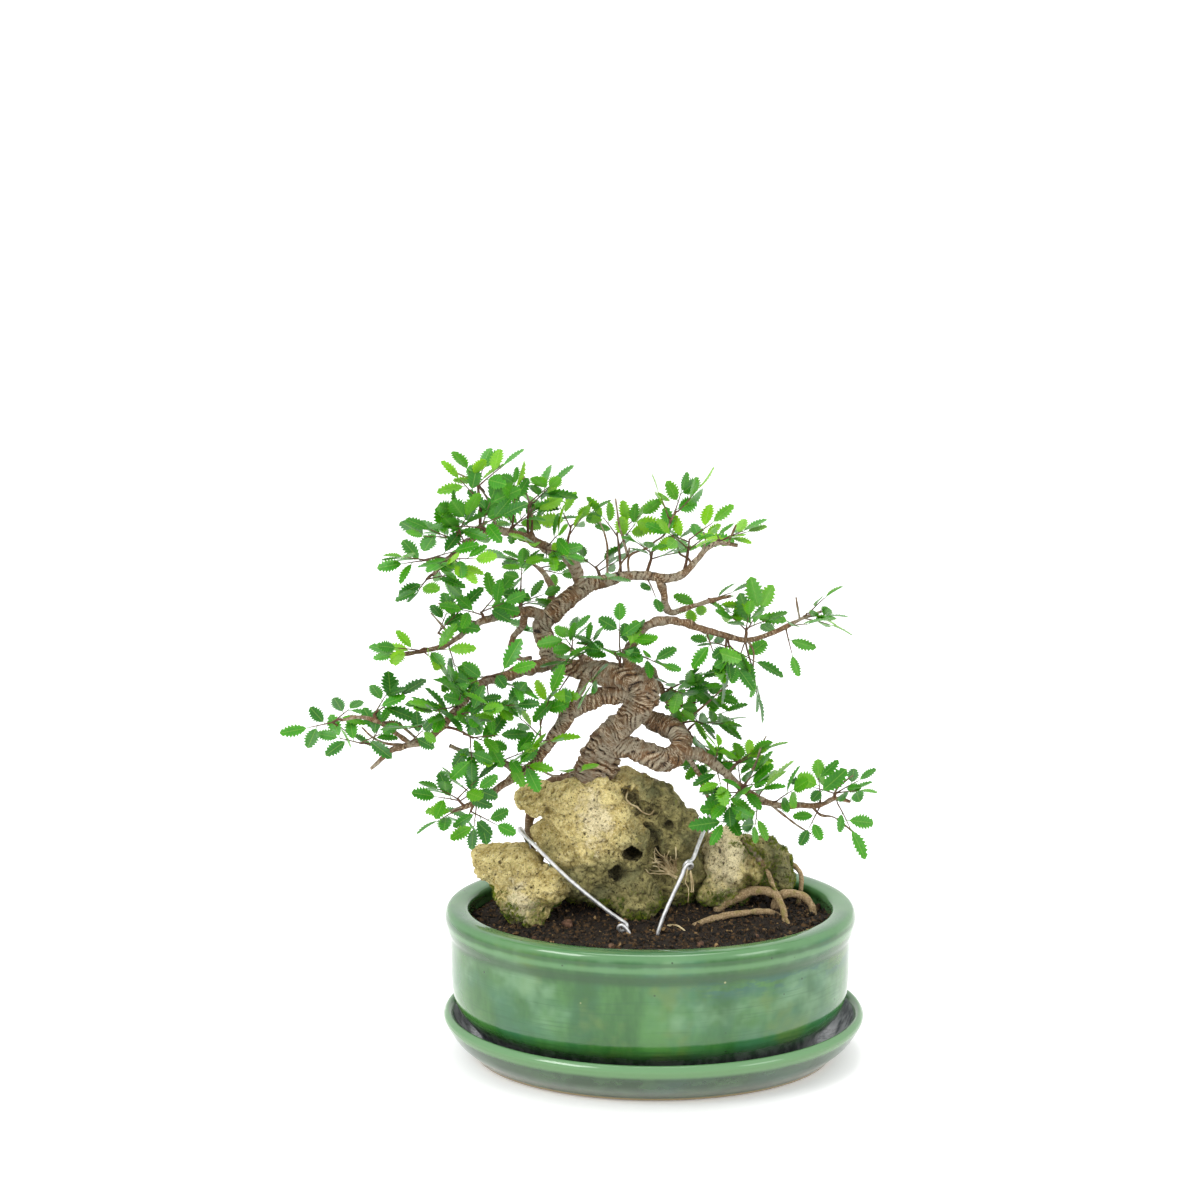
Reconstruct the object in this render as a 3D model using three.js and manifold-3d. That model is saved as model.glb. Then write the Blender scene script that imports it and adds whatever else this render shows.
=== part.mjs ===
// A small-leaved tree trained over a porous rock, in a glazed oval pot on its saucer.
// Millimetres, +Z up. The origin is on the table, below the centre of the pot.
// +X is the right-hand side as seen from the front, and the front is towards -Y.

import * as THREE from 'three';
import { mergeVertices } from 'three/addons/utils/BufferGeometryUtils.js';
import Module from 'manifold-3d';

const wasm = await Module();
wasm.setup();

// Clearance between pieces that touch.
const GAP = 0.3;

// Every oval is the long half-length by that half-length less this much.
// Inside the narrowest oval, all ovals are alike.
const OVAL_DROP = 30;
const OVAL_NARROWEST = 71.4;
const OVAL_SEGMENTS = 28;

// Saucer: lip, foot and floor.
const SAUCER_SHIFT = 1.9;
const SAUCER_LIP = 108.6;
const SAUCER_FOOT = 91.9;
const SAUCER_HEIGHT = 25.6;
const SAUCER_FLOOR = 5;

// Pot: it stands on the saucer's floor.
const POT_BASE = SAUCER_FLOOR + GAP;
const POT_LIP = 105;
const POT_BODY = 102;
const POT_MOUTH = 91.4;
const POT_RIM_HEIGHT = 75.3;
const POT_FLOOR_HEIGHT = 9.2;
const POT_UNDERSIDE = 3.3;
const DRAIN_RADIUS = 7;
const DRAIN_SPACING = 90;
const FOOT_NOTCH = 26;

// Soil level above the table at the pot's wall, and its crown in the middle.
const SOIL_LEVEL = 70.6;
const SOIL_CROWN = 1.8;

// Leaves: length, width and thickness of a full-grown blade.
const LEAF_LENGTH = 13;
const LEAF_WIDTH = 6.6;
const LEAF_THICKNESS = 0.62;

// Shoots: rib, places of the side leaves on it, and how it arches.
const RIB_LENGTH = 13;
const RIB_WIDTH = 1.3;
const SIDE_LEAVES = [5, 9];
const SIDE_LEAF_ANGLE = 0.95;
const LEAF_RISE = 0.18;
const SHOOT_DROOP = 0.006;
const SHOOT_SETBACK = 9;
const STEM_RADIUS = 1.1;
const TREE_AXIS = [-25, 6];

const WIRE_RADIUS = 0.9;

const COLOURS = {
  glaze: { color: 0x7aa67a, roughness: 0.2, metalness: 0 },
  saucerGlaze: { color: 0x6c8a70, roughness: 0.22, metalness: 0 },
  soil: { color: 0x2a1a10, roughness: 1, metalness: 0 },
  stone: { color: 0xb5a878, roughness: 0.95, metalness: 0 },
  mossyStone: { color: 0x7d7a50, roughness: 0.95, metalness: 0 },
  bark: { color: 0x8a7058, roughness: 0.85, metalness: 0 },
  leaf: { color: 0x3f9436, roughness: 0.5, metalness: 0 },
  youngLeaf: { color: 0x74bb2e, roughness: 0.5, metalness: 0 },
  wire: { color: 0xd6d6dc, roughness: 0.35, metalness: 1 },
};

// Trunk and limbs: each point is [x, y, z, radius].
const TRUNK = [
  [-32, 8, 138, 11], [-27.5, 7, 149, 10.2], [-24, 6, 160, 8.8], [-18.5, 4, 169, 7],
  [-13, 2, 175, 6.2], [-8.5, 0, 181, 6.8], [-5, -1, 187, 8.2], [-4, -2, 192.5, 7.6],
  [-8, -3, 198, 6.8], [-15, -3, 200, 6.2], [-23, -1, 200.5, 6], [-34, 2, 202, 4.9],
  [-42, 3, 203, 4.2], [-48, 4, 205.5, 5], [-51, 4, 211.5, 5], [-53, 5, 217.5, 4.8],
  [-54.5, 5, 223, 4.5], [-52, 6, 228, 4.6],
];

const LIMBS = {
  top: [
    [-51, 6, 228, 4.8], [-43, 8, 235, 4.6], [-34, 10, 242, 4.2], [-25, 10, 245, 3.2],
    [-15, 8, 248, 2.6], [-3, 6, 249, 2.3], [8, 4, 248, 2.2], [16, 2, 251, 1.7],
    [22, 0, 258, 1.4], [27, -2, 264, 1.2], [32, -3, 267, 1.1], [42, -4, 266, 0.9],
  ],
  apex: [
    [-35, 9, 244, 3.2], [-38, 8, 252, 3], [-43, 6, 259, 2.8], [-52, 4, 263, 2.6],
    [-61, 0, 269, 2.3], [-69, -3, 272, 2], [-76, -7, 274, 1.9], [-84, -11, 273, 1.6],
    [-92, -16, 267, 1.3], [-100, -20, 262, 1.1], [-106, -22, 255, 0.9],
  ],
  left: [
    [-53, 5, 227, 3.2], [-59, 3, 231, 2.9], [-65, 0, 232, 2.5], [-73, -3, 231, 2.2],
    [-83, -8, 229, 1.9], [-92, -12, 224, 1.5], [-100, -16, 219, 1.2], [-109, -19, 217, 1],
    [-122, -22, 215, 0.8],
  ],
  loop: [
    [-63, 1, 232, 2], [-64, 5, 224, 1.8], [-69, 8, 217, 1.6], [-70, 9, 210, 1.5],
    [-65, 8, 206, 1.3], [-60, 6, 207, 1.1],
  ],
  middleLeft: [
    [-47, 4, 206, 4], [-54, -1, 205, 3.5], [-63, -6, 204, 3.1], [-72, -12, 202, 2.6],
    [-81, -18, 201, 2.3], [-88, -24, 197, 2.1], [-95, -29, 190, 2], [-102, -32, 182, 1.9],
    [-109, -34, 176, 1.8], [-119, -34, 173, 1.7], [-127, -34, 170, 1.4], [-137, -34, 161, 0.9],
  ],
  farLeft: [
    [-118, -34, 174, 1.3], [-125, -36, 180, 1.2], [-133, -38, 186, 1.1], [-142, -38, 188, 0.9],
    [-150, -36, 186, 0.8],
  ],
  lowLeft: [
    [-7, -1, 191, 4.8], [-16, -1, 190, 4.6], [-24, -1, 189, 4.5], [-32, -4, 186, 4.2],
    [-40, -7, 183, 4], [-44, -10, 177, 3.6], [-49, -13, 171, 3.1], [-54, -16, 164, 2.6],
    [-59, -18, 158, 2.7], [-66, -20, 154, 2.6], [-73, -23, 150, 1.8], [-82, -26, 144, 1.5],
    [-92, -28, 140, 1.2], [-99, -30, 138, 0.9],
  ],
  lowLeftFork: [
    [-66, -20, 155, 1.9], [-73, -20, 160, 1.6], [-81, -22, 164, 1.4], [-89, -25, 166, 1.1],
    [-99, -28, 171, 0.9],
  ],
  lowLeftStrut: [[-31.5, -1, 201.5, 2.4], [-34, -4, 196, 2.2], [-36.5, -6, 191, 2], [-40, -7, 185, 2]],
  middleRight: [
    [-10, -4, 202, 3.4], [-12, -6, 210, 2.9], [-10, -6, 216, 2.6], [-6, -5, 223, 2.4],
    [0, -4, 227, 2.3], [8, -2, 228, 2.2], [18, 0, 226, 1.9], [27, 2, 222, 1.7],
    [37, 4, 219, 1.5], [47, 6, 216, 1.3], [56, 6, 218, 1.2], [67, 6, 223, 1.1],
    [77, 6, 228, 0.9], [85, 6, 231, 0.8],
  ],
  curl: [
    [-20, 4, 162, 5.6], [-10, 0, 162, 5.6], [-1, -3, 159, 5.8], [7, -4, 157, 5.7],
    [12.5, -3, 159.5, 5.2], [15.5, 1, 164, 5], [13, 6, 168.5, 5], [8, 9, 171, 5.4],
    [1, 10, 173.5, 4.8], [-4, 7, 178, 4], [-7, 2, 184, 3.4],
  ],
  lowRight: [
    [13.5, -2, 160.5, 3.8], [19, -2.5, 160.5, 3.5], [25, -3, 159, 3.1], [32, -5, 155, 2.6],
    [38, -7, 150, 2.2], [45, -9, 144, 2], [53, -11, 139, 1.9], [61, -11, 136, 1.8], [73, -10, 135, 1.6],
    [85, -9, 135, 1.3], [92, -8, 138, 1.1], [100, -7, 136, 0.8],
  ],
  droop: [[18, -3, 159, 1.6], [23, -3, 151, 1.3], [26, -4, 144, 1.1], [29, -5, 137, 0.8]],
  backRight: [
    [-7, 0, 199, 3], [0, 10, 200, 1.9], [3, 15, 193, 1.7], [7, 19, 185, 1.6],
    [12, 23, 175, 1.6], [19, 27, 163, 1.4], [27, 31, 153, 1.1], [38, 34, 148, 0.9],
  ],
  spur: [
    [3, 5, 248, 2], [6, 6, 241, 1.8], [7, 7, 233, 1.9], [10, 8, 230, 1.7],
    [19, 10, 232, 1.3], [30, 12, 235, 1.1], [40, 14, 237, 0.9],
  ],
  backHigh: [
    [-54, 6, 220, 3.4], [-52, 16, 226, 2.4], [-50, 26, 236, 1.9], [-54, 36, 244, 1.4],
    [-60, 44, 248, 0.9],
  ],
  backLow: [
    [-6, 0, 190, 3.2], [-13, 14, 194, 2.4], [-22, 26, 196, 1.9], [-34, 36, 200, 1.5],
    [-46, 44, 206, 0.9],
  ],
};

// Roots run down the rock's back, under the soil and out again at the right front.
const ROOTS = {
  front: [
    [-23, 12, 143, 5], [0, 28, 135, 3.8], [18, 42, 112, 3.2], [30, 46, 86, 3],
    [38, 40, 64, 2.8], [38, 22, 60, 2.8], [36, 11, 74, 2.6], [44, 12, 78, 2.6],
    [52, 14, 81, 2.5], [60, 13, 82, 2.3], [65, 7, 81, 2], [68, 1, 76, 1.8], [70, -3, 66, 1.5],
  ],
  pale: [
    [38, 32, 62, 2], [28, 6, 59, 1.8], [19, -8, 62, 1.7], [19, -12, 68, 1.7], [25, -9, 72.4, 1.6],
    [34, -4, 73.6, 1.6], [47, 0, 74.4, 1.6], [62, 4, 73.6, 1.5], [71, 9, 66, 1.3],
  ],
  right: [
    [34, 43, 75, 2.2], [52, 38, 61, 2.4], [64, 20, 66, 2.3], [67, 13, 79, 2.2], [73, 12, 81, 2.1],
    [78, 11, 80, 2], [83, 9, 76, 1.8], [86, 7, 65, 1.5],
  ],
  edge: [
    [18, 42, 112, 2.2], [38, 46, 97, 1.8], [60, 42, 90, 1.6], [74, 33, 90, 1.3],
    [79, 25, 87, 1.2], [79, 22, 80, 1.2], [77, 24, 66, 1.2],
  ],
  back: [[-29, 13, 143, 4.6], [-24, 36, 128, 3.2], [-20, 45, 104, 2.8], [-17, 48, 82, 2.4], [-16, 48, 64, 2]],
  left: [
    [-35, 10, 141, 4.6], [-52, 24, 136, 3], [-62, 32, 118, 2.6], [-61, 35, 92, 2.3],
    [-57, 36, 64, 2],
  ],
};

// Each wire is hooked over the rock, pushed into the soil in front and at the back.
const WIRES = {
  wire_left: [
    [-60, 34, 62], [-62, 30, 96], [-66, 16, 114], [-66, 4, 116], [-60, -4, 115], [-52, -9, 107],
    [-42, -12, 97], [-30, -14, 87], [-18, -15, 77], [-12.5, -15.5, 73.4], [-10, -18, 71.6],
    [-12.4, -20.4, 72.6], [-14, -17.6, 73.8], [-11.8, -20.6, 70.6], [-10.6, -24.5, 66],
  ],
  wire_right: [
    [26, 46, 62], [29, 40, 96], [31, 22, 120], [29, 10, 125], [26, 2, 117], [22, -6, 107],
    [20, -11, 102.6], [17.4, -13.4, 101], [16.6, -11, 99.4], [18.6, -11.4, 101.4], [17, -14, 99.4],
    [12.6, -17, 92], [7, -20.5, 81], [3.6, -23, 72], [1.6, -24.5, 65],
  ],
};

// Stones: lumps are [x, y, z, half-width, half-depth, half-height].
const STONES = {
  rock_main: {
    lumps: [
      [-16, 24, 84, 38, 20, 22, 1], [-27, 15, 110, 36, 22, 26, 1], [-30, 9, 126, 29, 17, 20, 1],
      [-58, 8, 132, 12.5, 13, 10, 1], [-14, 10, 134, 19, 17, 14, 1], [5, 13, 127, 15, 15, 14, 1],
      [16, 14, 112, 14, 15, 14, 1], [-12, -2, 117, 12, 11, 9, 1], [-8, 3, 82, 14, 14, 16, 1],
      [-34, 6, 94, 21, 14, 18, 1], [14, 22, 88, 19, 16, 20, 1],
      [-18, 2, 127, 13, 12, 14, 1],
    ],
    hollows: [
      [-6.5, -2, 108.5, 4.5, 14, 5, 0], [-17, -11, 97, 5.5, 10, 6, 0], [9, -9, 98, 9, 12, 11, 0],
      [25, -2, 93, 5.5, 14, 9, 0], [-7, -5, 136, 6, 10, 7, 0], [3, -5, 127, 7, 10, 6, 0],
      [-60, -2, 120.5, 7, 10, 5, 0],
    ],
    finish: 'stone',
  },
  rock_left: {
    lumps: [
      [-73, 5, 98, 18, 20, 13, 1], [-66, 1, 87, 17, 16, 17, 1], [-61, -5, 78, 10, 11, 11, 1],
      [-80, 6, 102, 11, 15, 8, 1], [-51, -3, 90, 14, 12, 11, 1],
    ],
    hollows: [[-84, -10, 88, 5, 7, 5, 0]],
    finish: 'stone',
  },
  rock_right: {
    lumps: [
      [40, 19, 96, 13, 14, 20, 1], [38, 20, 80, 14, 13, 14, 1], [57, 27, 91, 18, 13, 15.5, 1],
      [66, 25, 85, 11, 11, 14, 1],
    ],
    hollows: [[50, 10, 84, 5, 6, 7, 0]],
    finish: 'mossyStone',
  },
};

// Sprays: [name, root on its limb, heart of the leaves, half-extents, shoots, young].
const SPRAYS = [
  ['apex_tip', [-84, -11, 273], [-85, -14, 306], [13, 12, 11], 2, 1],
  ['apex_right', [-61, 0, 269], [-60, -2, 296], [14, 13, 11], 1, 0],
  ['apex_front', [-80, -9, 273.6], [-88, -27, 281], [16, 9, 9], 1, 0],
  ['apex_middle', [-69, -3, 272], [-66, 2, 281], [14, 12, 8], 1, 1],
  ['apex_low', [-52, 4, 263], [-54, -14, 266], [12, 10, 9], 1, 1],
  ['apex_back', [-57, 2, 266.4], [-62, 26, 276], [16, 14, 12], 1, 0],
  ['crown_shoot', [-43, 6, 259], [-38, 14, 282], [10, 8, 8], 1, 1],
  ['upper_left_high', [-92, -16, 267], [-105, -14, 278], [15, 11, 8], 2, 0],
  ['upper_left_tip', [-100, -20, 262], [-119, -24, 262], [14, 10, 7], 2, 0],
  ['upper_left_front', [-96, -18, 264.6], [-98, -36, 262], [12, 9, 9], 2, 1],
  ['upper_left_low', [-106, -22, 255], [-115, -18, 248], [11, 10, 9], 1, 0],
  ['upper_left_back', [-88, -13, 270.4], [-96, 10, 264], [14, 12, 10], 1, 0],
  ['second_left', [-83, -8, 229], [-86, -12, 241], [14, 11, 9], 2, 0],
  ['second_middle', [-65, 0, 232], [-64, 14, 240], [13, 12, 9], 1, 0],
  ['left_high', [-100, -16, 219], [-111, -12, 231], [13, 11, 9], 1, 0],
  ['left_tip', [-109, -19, 217], [-121, -26, 217], [17, 10, 8], 2, 1],
  ['mid_left_high', [-72, -12, 202], [-84, -38, 208], [14, 9, 10], 2, 0],
  ['mid_left_near', [-95, -29, 190], [-95, -50, 190], [17, 8, 11], 2, 0],
  ['mid_left_low', [-88, -24, 197], [-73, -38, 188], [14, 9, 11], 1, 0],
  ['mid_left_under', [-102, -32, 182], [-79, -30, 172], [15, 9, 9], 1, 0],
  ['far_left_tip', [-150, -36, 186], [-163, -32, 182], [12, 9, 7], 2, 0],
  ['far_left_under', [-127, -34, 170], [-150, -40, 178], [13, 9, 8], 1, 0],
  ['far_left_high', [-133, -38, 186], [-137, -32, 194], [11, 10, 9], 1, 0],
  ['low_left_tip', [-92, -28, 140], [-100, -34, 152], [12, 9, 8], 2, 0],
  ['low_left_under', [-86, -26.6, 142.6], [-94, -30, 130], [15, 9, 7], 1, 0],
  ['low_left_high', [-73, -20, 160], [-76, -30, 165], [14, 9, 8], 1, 1],
  ['centre_left', [-34, 2, 202], [-38, -17, 219], [11, 8, 12], 1, 0],
  ['centre', [-15, -3, 200], [-20, -15, 222], [12, 9, 12], 2, 0],
  ['centre_right', [-10, -6, 216], [-2, -18, 208], [13, 9, 8], 1, 0],
  ['top_shoot', [-15, 8, 248], [-18, 12, 279], [12, 10, 11], 1, 1],
  ['top_middle', [-3, 6, 249], [3, 16, 268], [14, 12, 11], 2, 0],
  ['top_right', [16, 2, 251], [20, 4, 277], [13, 11, 9], 2, 1],
  ['top_end', [32, -3, 267], [36, -2, 270], [12, 10, 9], 1, 1],
  ['top_back', [-25, 10, 245], [-30, 26, 256], [14, 13, 9], 1, 0],
  ['right_spur', [30, 12, 235], [28, 18, 233], [13, 12, 9], 1, 1],
  ['right_middle', [47, 6, 216], [48, 14, 229], [14, 11, 8], 2, 0],
  ['right_end', [77, 6, 228], [73, 8, 226], [13, 11, 9], 1, 1],
  ['right_under', [37, 4, 219], [42, 4, 204], [13, 10, 12], 1, 0],
  ['back_right_high', [7, 19, 185], [20, 24, 194], [13, 11, 10], 1, 0],
  ['back_right_low', [19, 27, 163], [33, 34, 172], [14, 11, 14], 1, 0],
  ['low_right_high', [38, -7, 150], [50, 8, 159], [14, 12, 10], 2, 1],
  ['low_right_front', [45, -9, 144], [40, -20, 140], [14, 9, 12], 2, 0],
  ['low_right_end', [92, -8, 138], [95, -8, 146], [15, 10, 9], 2, 0],
  ['back_crown', [-54, 36, 244], [-60, 48, 250], [15, 12, 11], 1, 0],
];

const SEED_STEP = 16807;
const SEED_SPAN = 2147483647;

// A seeded generator, so that every run grows the same tree.
function seeded(seed) {
  let state = seed;
  return () => {
    state = (state * SEED_STEP) % SEED_SPAN;
    return state / SEED_SPAN;
  };
}

// A closed geometry becomes a solid once its shared vertices are merged.
function toSolid(geometry) {
  const bare = geometry.clone();
  bare.deleteAttribute('normal');
  bare.deleteAttribute('uv');
  const merged = mergeVertices(bare, 1e-4);
  const vertProperties = new Float32Array(merged.attributes.position.array);
  const triVerts = new Uint32Array(merged.index.array);
  return new wasm.Manifold(new wasm.Mesh({ numProp: 3, vertProperties, triVerts }));
}

function toMesh(name, solid, finish) {
  const mesh = solid.getMesh();
  const geometry = new THREE.BufferGeometry();
  geometry.setAttribute('position', new THREE.BufferAttribute(mesh.vertProperties, 3));
  geometry.setIndex(new THREE.BufferAttribute(mesh.triVerts, 1));
  geometry.computeVertexNormals();
  const node = new THREE.Mesh(geometry, new THREE.MeshStandardMaterial(COLOURS[finish]));
  node.name = name;
  return node;
}

function join(solids) {
  return solids.reduce((whole, solid) => whole.add(solid));
}

function bulk(solid) {
  const mesh = solid.getMesh();
  const box = new THREE.Box3().setFromArray(mesh.vertProperties);
  return { box, size: box.getSize(new THREE.Vector3()).length() };
}

// Loose scraps that a cut leaves behind are dropped.
function largest(solid) {
  const pieces = solid.decompose();
  return pieces.reduce((best, piece) => (bulk(piece).size > bulk(best).size ? piece : best));
}

// A lathe turned to +Z and pressed into the pot's oval.
function ovalLathe(profile) {
  const outline = profile.map(([radius, z]) => new THREE.Vector2(radius, z));
  const geometry = new THREE.LatheGeometry(outline, OVAL_SEGMENTS);
  geometry.rotateX(Math.PI / 2);
  const place = geometry.attributes.position;
  for (let i = 0; i < place.count; i += 1) {
    const radius = Math.max(OVAL_NARROWEST, Math.hypot(place.getX(i), place.getY(i)));
    place.setY(i, place.getY(i) * (radius - OVAL_DROP) / radius);
  }
  return geometry;
}

function makeSaucer() {
  return toSolid(ovalLathe([
    [0, 0], [SAUCER_FOOT, 0], [SAUCER_FOOT + 0.8, 2.4], [101.5, 10], [106, 17],
    [SAUCER_LIP, 22.4], [105.8, SAUCER_HEIGHT], [102.8, 23], [100.4, 15], [95.5, 8],
    [88, SAUCER_FLOOR], [0, SAUCER_FLOOR],
  ]));
}

function makePot() {
  const body = toSolid(ovalLathe([
    [0, POT_UNDERSIDE], [78, POT_UNDERSIDE], [78, 0], [85.6, 0], [88.5, 8], [94, 15.6],
    [99.6, 23], [POT_BODY, 33], [POT_BODY, 59], [103.6, 63.4], [POT_LIP, 70], [103.2, 74.6],
    [99, POT_RIM_HEIGHT], [POT_MOUTH, 74], [94, 60], [94, 26], [86, POT_FLOOR_HEIGHT],
    [0, POT_FLOOR_HEIGHT],
  ]));
  const drain = new THREE.CylinderGeometry(DRAIN_RADIUS, DRAIN_RADIUS, 4 * POT_FLOOR_HEIGHT, 14);
  drain.rotateX(Math.PI / 2);
  const drains = [-1, 1].map((side) => toSolid(drain.clone().translate(side * DRAIN_SPACING / 2, 0, 0)));
  const notch = new THREE.BoxGeometry(FOOT_NOTCH, 3 * POT_LIP, POT_UNDERSIDE * 2);
  const sideNotch = new THREE.BoxGeometry(3 * POT_LIP, FOOT_NOTCH, POT_UNDERSIDE * 2);
  return body.subtract(join([...drains, toSolid(notch), toSolid(sideNotch)]));
}

// The soil fills the pot, with a shallow crown and an uneven top.
function makeSoilBlock() {
  const base = POT_BASE + POT_FLOOR_HEIGHT + GAP;
  const geometry = ovalLathe([
    [0, base], [85.4, base], [93.5, POT_BASE + 26.6], [93.5, POT_BASE + 59.6], [91.8, SOIL_LEVEL],
    [60, SOIL_LEVEL + SOIL_CROWN * 0.6], [0, SOIL_LEVEL + SOIL_CROWN],
  ]);
  const place = geometry.attributes.position;
  for (let i = 0; i < place.count; i += 1) {
    const [x, y, z] = [place.getX(i), place.getY(i), place.getZ(i)];
    const inside = z > SOIL_LEVEL + 0.2;
    place.setZ(i, inside ? z + 0.5 * Math.sin(x * 0.31) * Math.cos(y * 0.43) : z);
  }
  return toSolid(geometry);
}

// Rings of a cylinder are moved onto a smooth curve, with a radius at each point of it.
function tube(points, sides, stepsPerSpan, { swell = 0, ropes = 0, ropeDepth = 0, twist = 0 } = {}) {
  const curve = new THREE.CatmullRomCurve3(points.map(([x, y, z]) => new THREE.Vector3(x, y, z)));
  const spans = points.length - 1;
  const steps = Math.round(spans * stepsPerSpan);
  const rings = [];
  let side = new THREE.Vector3(0.31, -0.87, 0.38);
  for (let i = 0; i <= steps; i += 1) {
    const centre = curve.getPoint(i / steps);
    const along = curve.getTangent(i / steps);
    side = side.clone().addScaledVector(along, -side.dot(along)).normalize();
    const span = Math.min(spans - 1, Math.floor(i * spans / steps));
    const mix = i * spans / steps - span;
    const radius = points[span][3] * (1 - mix) + points[span + 1][3] * mix + swell;
    if (i === 0) centre.addScaledVector(along, -swell);
    if (i === steps) centre.addScaledVector(along, swell);
    rings.push({ centre, side, across: side.clone().cross(along).negate(), radius });
  }
  const geometry = new THREE.CylinderGeometry(1, 1, 1, sides, steps);
  const place = geometry.attributes.position;
  for (let i = 0; i < place.count; i += 1) {
    const [x, y, z] = [place.getX(i), place.getY(i), place.getZ(i)];
    const ring = Math.round((y + 0.5) * steps);
    const { centre, side: u, across: v, radius } = rings[ring];
    const rope = 1 + ropeDepth * Math.cos(ropes * Math.atan2(x, z) + twist * ring);
    const spot = centre.clone().addScaledVector(v, x * radius * rope).addScaledVector(u, z * radius * rope);
    place.setXYZ(i, spot.x, spot.y, spot.z);
  }
  return toSolid(geometry);
}

function makeTree(swell) {
  const trunk = tube(TRUNK, 9, 1.4, { swell, ropes: 3, ropeDepth: 0.09, twist: 0.8 });
  const limbs = Object.values(LIMBS).map((points) => {
    const thick = points[1][3] > 4;
    const ropeDepth = thick ? 0.07 : 0;
    return tube(points, thick ? 7 : 5, thick ? 1 : 0.6, { swell, ropes: 3, ropeDepth, twist: 0.6 });
  });
  const roots = Object.values(ROOTS).map((points) => tube(points, 5, 1, { swell }));
  return join([trunk, ...limbs, ...roots]);
}

// A lump is a sphere pressed into its three half-sizes, with a lumpy surface.
function lump([x, y, z, halfX, halfY, halfZ, detail], swell) {
  const geometry = new THREE.IcosahedronGeometry(1, detail);
  const place = geometry.attributes.position;
  for (let i = 0; i < place.count; i += 1) {
    const [u, v, w] = [place.getX(i), place.getY(i), place.getZ(i)];
    const bump = 1 + 0.05 * Math.sin(5 * u + x) * Math.cos(4 * v + y) + 0.05 * Math.sin(6 * w + 3 * u + z);
    place.setXYZ(
      i,
      x + u * (halfX * bump + swell),
      y + v * (halfY * bump + swell),
      z + w * (halfZ * bump + swell),
    );
  }
  return toSolid(geometry);
}

function makeStone({ lumps, hollows }) {
  const mass = join(lumps.map((row) => lump(row, 0)));
  return mass.subtract(join(hollows.map((row) => lump(row, 0))));
}

function stoneGuard({ lumps }) {
  return join(lumps.map((row) => lump(row, GAP + 0.1)));
}

function makeWire(points, swell) {
  return tube(points.map((point) => [...point, WIRE_RADIUS]), 5, 1, { swell });
}

// One leaf's edge from its left root round the tip: [along, across] as shares of its size.
const LEAF_EDGE = [
  [0.26, 0.5], [0.47, 0.38], [0.6, 0.44], [1, 0], [0.6, -0.44], [0.47, -0.38], [0.26, -0.5],
];

// A side leaf's inner edge, towards the tip of the rib, is a little plainer.
const SIDE_LEAF_EDGE = [...LEAF_EDGE.slice(0, 5), [0.3, -0.47]];

// A shoot is a flat rib with an end leaf and a leaf on each side, as one outline.
function shootOutline(size, grow) {
  const length = LEAF_LENGTH * size + grow;
  const width = LEAF_WIDTH * size + grow;
  const half = RIB_WIDTH / 2 + grow / 2;
  const edge = (root, angle, points) => points.map(([along, across]) => {
    const [u, v] = [along * length, across * width];
    return [root + u * Math.cos(angle) - v * Math.sin(angle), u * Math.sin(angle) + v * Math.cos(angle)];
  });
  const leafOn = (root, side) => [
    [root - half, side * half],
    ...edge(root, side * SIDE_LEAF_ANGLE, SIDE_LEAF_EDGE.map(([a, b]) => [a, side * b])),
    [root + half, side * half],
  ];
  return [
    [0, -half],
    ...leafOn(SIDE_LEAVES[0] * size, -1),
    [RIB_LENGTH * size, -half],
    ...edge(RIB_LENGTH * size, 0, LEAF_EDGE.map(([a, b]) => [a, -b])),
    [RIB_LENGTH * size, half],
    ...leafOn(SIDE_LEAVES[1] * size, 1).reverse(),
    [0, half],
  ];
}

// The outline is thickened, then arched so that the leaves rise from the rib and droop.
function makeShoot({ root, along, up, size }, grow) {
  const shape = new THREE.Shape(shootOutline(size, grow).map(([u, v]) => new THREE.Vector2(u, v)));
  const thickness = LEAF_THICKNESS + 2 * grow;
  const geometry = new THREE.ExtrudeGeometry(shape, { depth: thickness, bevelEnabled: false });
  const across = up.clone().cross(along).normalize();
  const face = along.clone().cross(across);
  const place = geometry.attributes.position;
  for (let i = 0; i < place.count; i += 1) {
    const [u, v, w] = [place.getX(i), place.getY(i), place.getZ(i)];
    const lift = LEAF_RISE * Math.abs(v) - SHOOT_DROOP * u * u - thickness / 2;
    const spot = root.clone().addScaledVector(along, u).addScaledVector(across, v);
    spot.addScaledVector(face, w + lift);
    place.setXYZ(i, spot.x, spot.y, spot.z);
  }
  return toSolid(geometry);
}

const UPWARD = new THREE.Vector3(0, 0, 1);
const SHOOT_TURNS = 9;
const SHOOT_SWING = 0.7;

// The stem runs towards the heart of the spray, and its shoots fan out from there.
function planSpray([, root, heart, reach, shoots], number) {
  const random = seeded(1000 + number * 77);
  const start = new THREE.Vector3(...root);
  const middle = new THREE.Vector3(...heart);
  const axis = middle.clone().sub(start);
  const back = Math.min(SHOOT_SETBACK, axis.length() * 0.6);
  const fork = middle.clone().addScaledVector(axis.normalize(), -back);
  const outward = middle.y < TREE_AXIS[1] ? -0.8 : 0.8;
  const facing = new THREE.Vector3(0.15 * Math.sign(middle.x - TREE_AXIS[0]), outward, 0.8);
  const plans = [];
  for (let i = 0; i < shoots; i += 1) {
    const turn = (i + 0.6 * random()) * 2 * Math.PI / shoots;
    const aim = new THREE.Vector3(
      reach[0] * Math.cos(turn),
      reach[1] * Math.sin(turn),
      reach[2] * (random() - 0.25),
    );
    const along = middle.clone().add(aim).sub(fork).normalize();
    const sway = new THREE.Vector3(random() - 0.5, random() - 0.5, random() - 0.5);
    const up = facing.clone().addScaledVector(sway, 0.9);
    const seat = start.clone().lerp(fork, 0.97 - 0.26 * i);
    plans.push({ root: seat, along, up, size: 0.88 + 0.26 * random() });
  }
  return { start, fork, plans };
}

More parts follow.
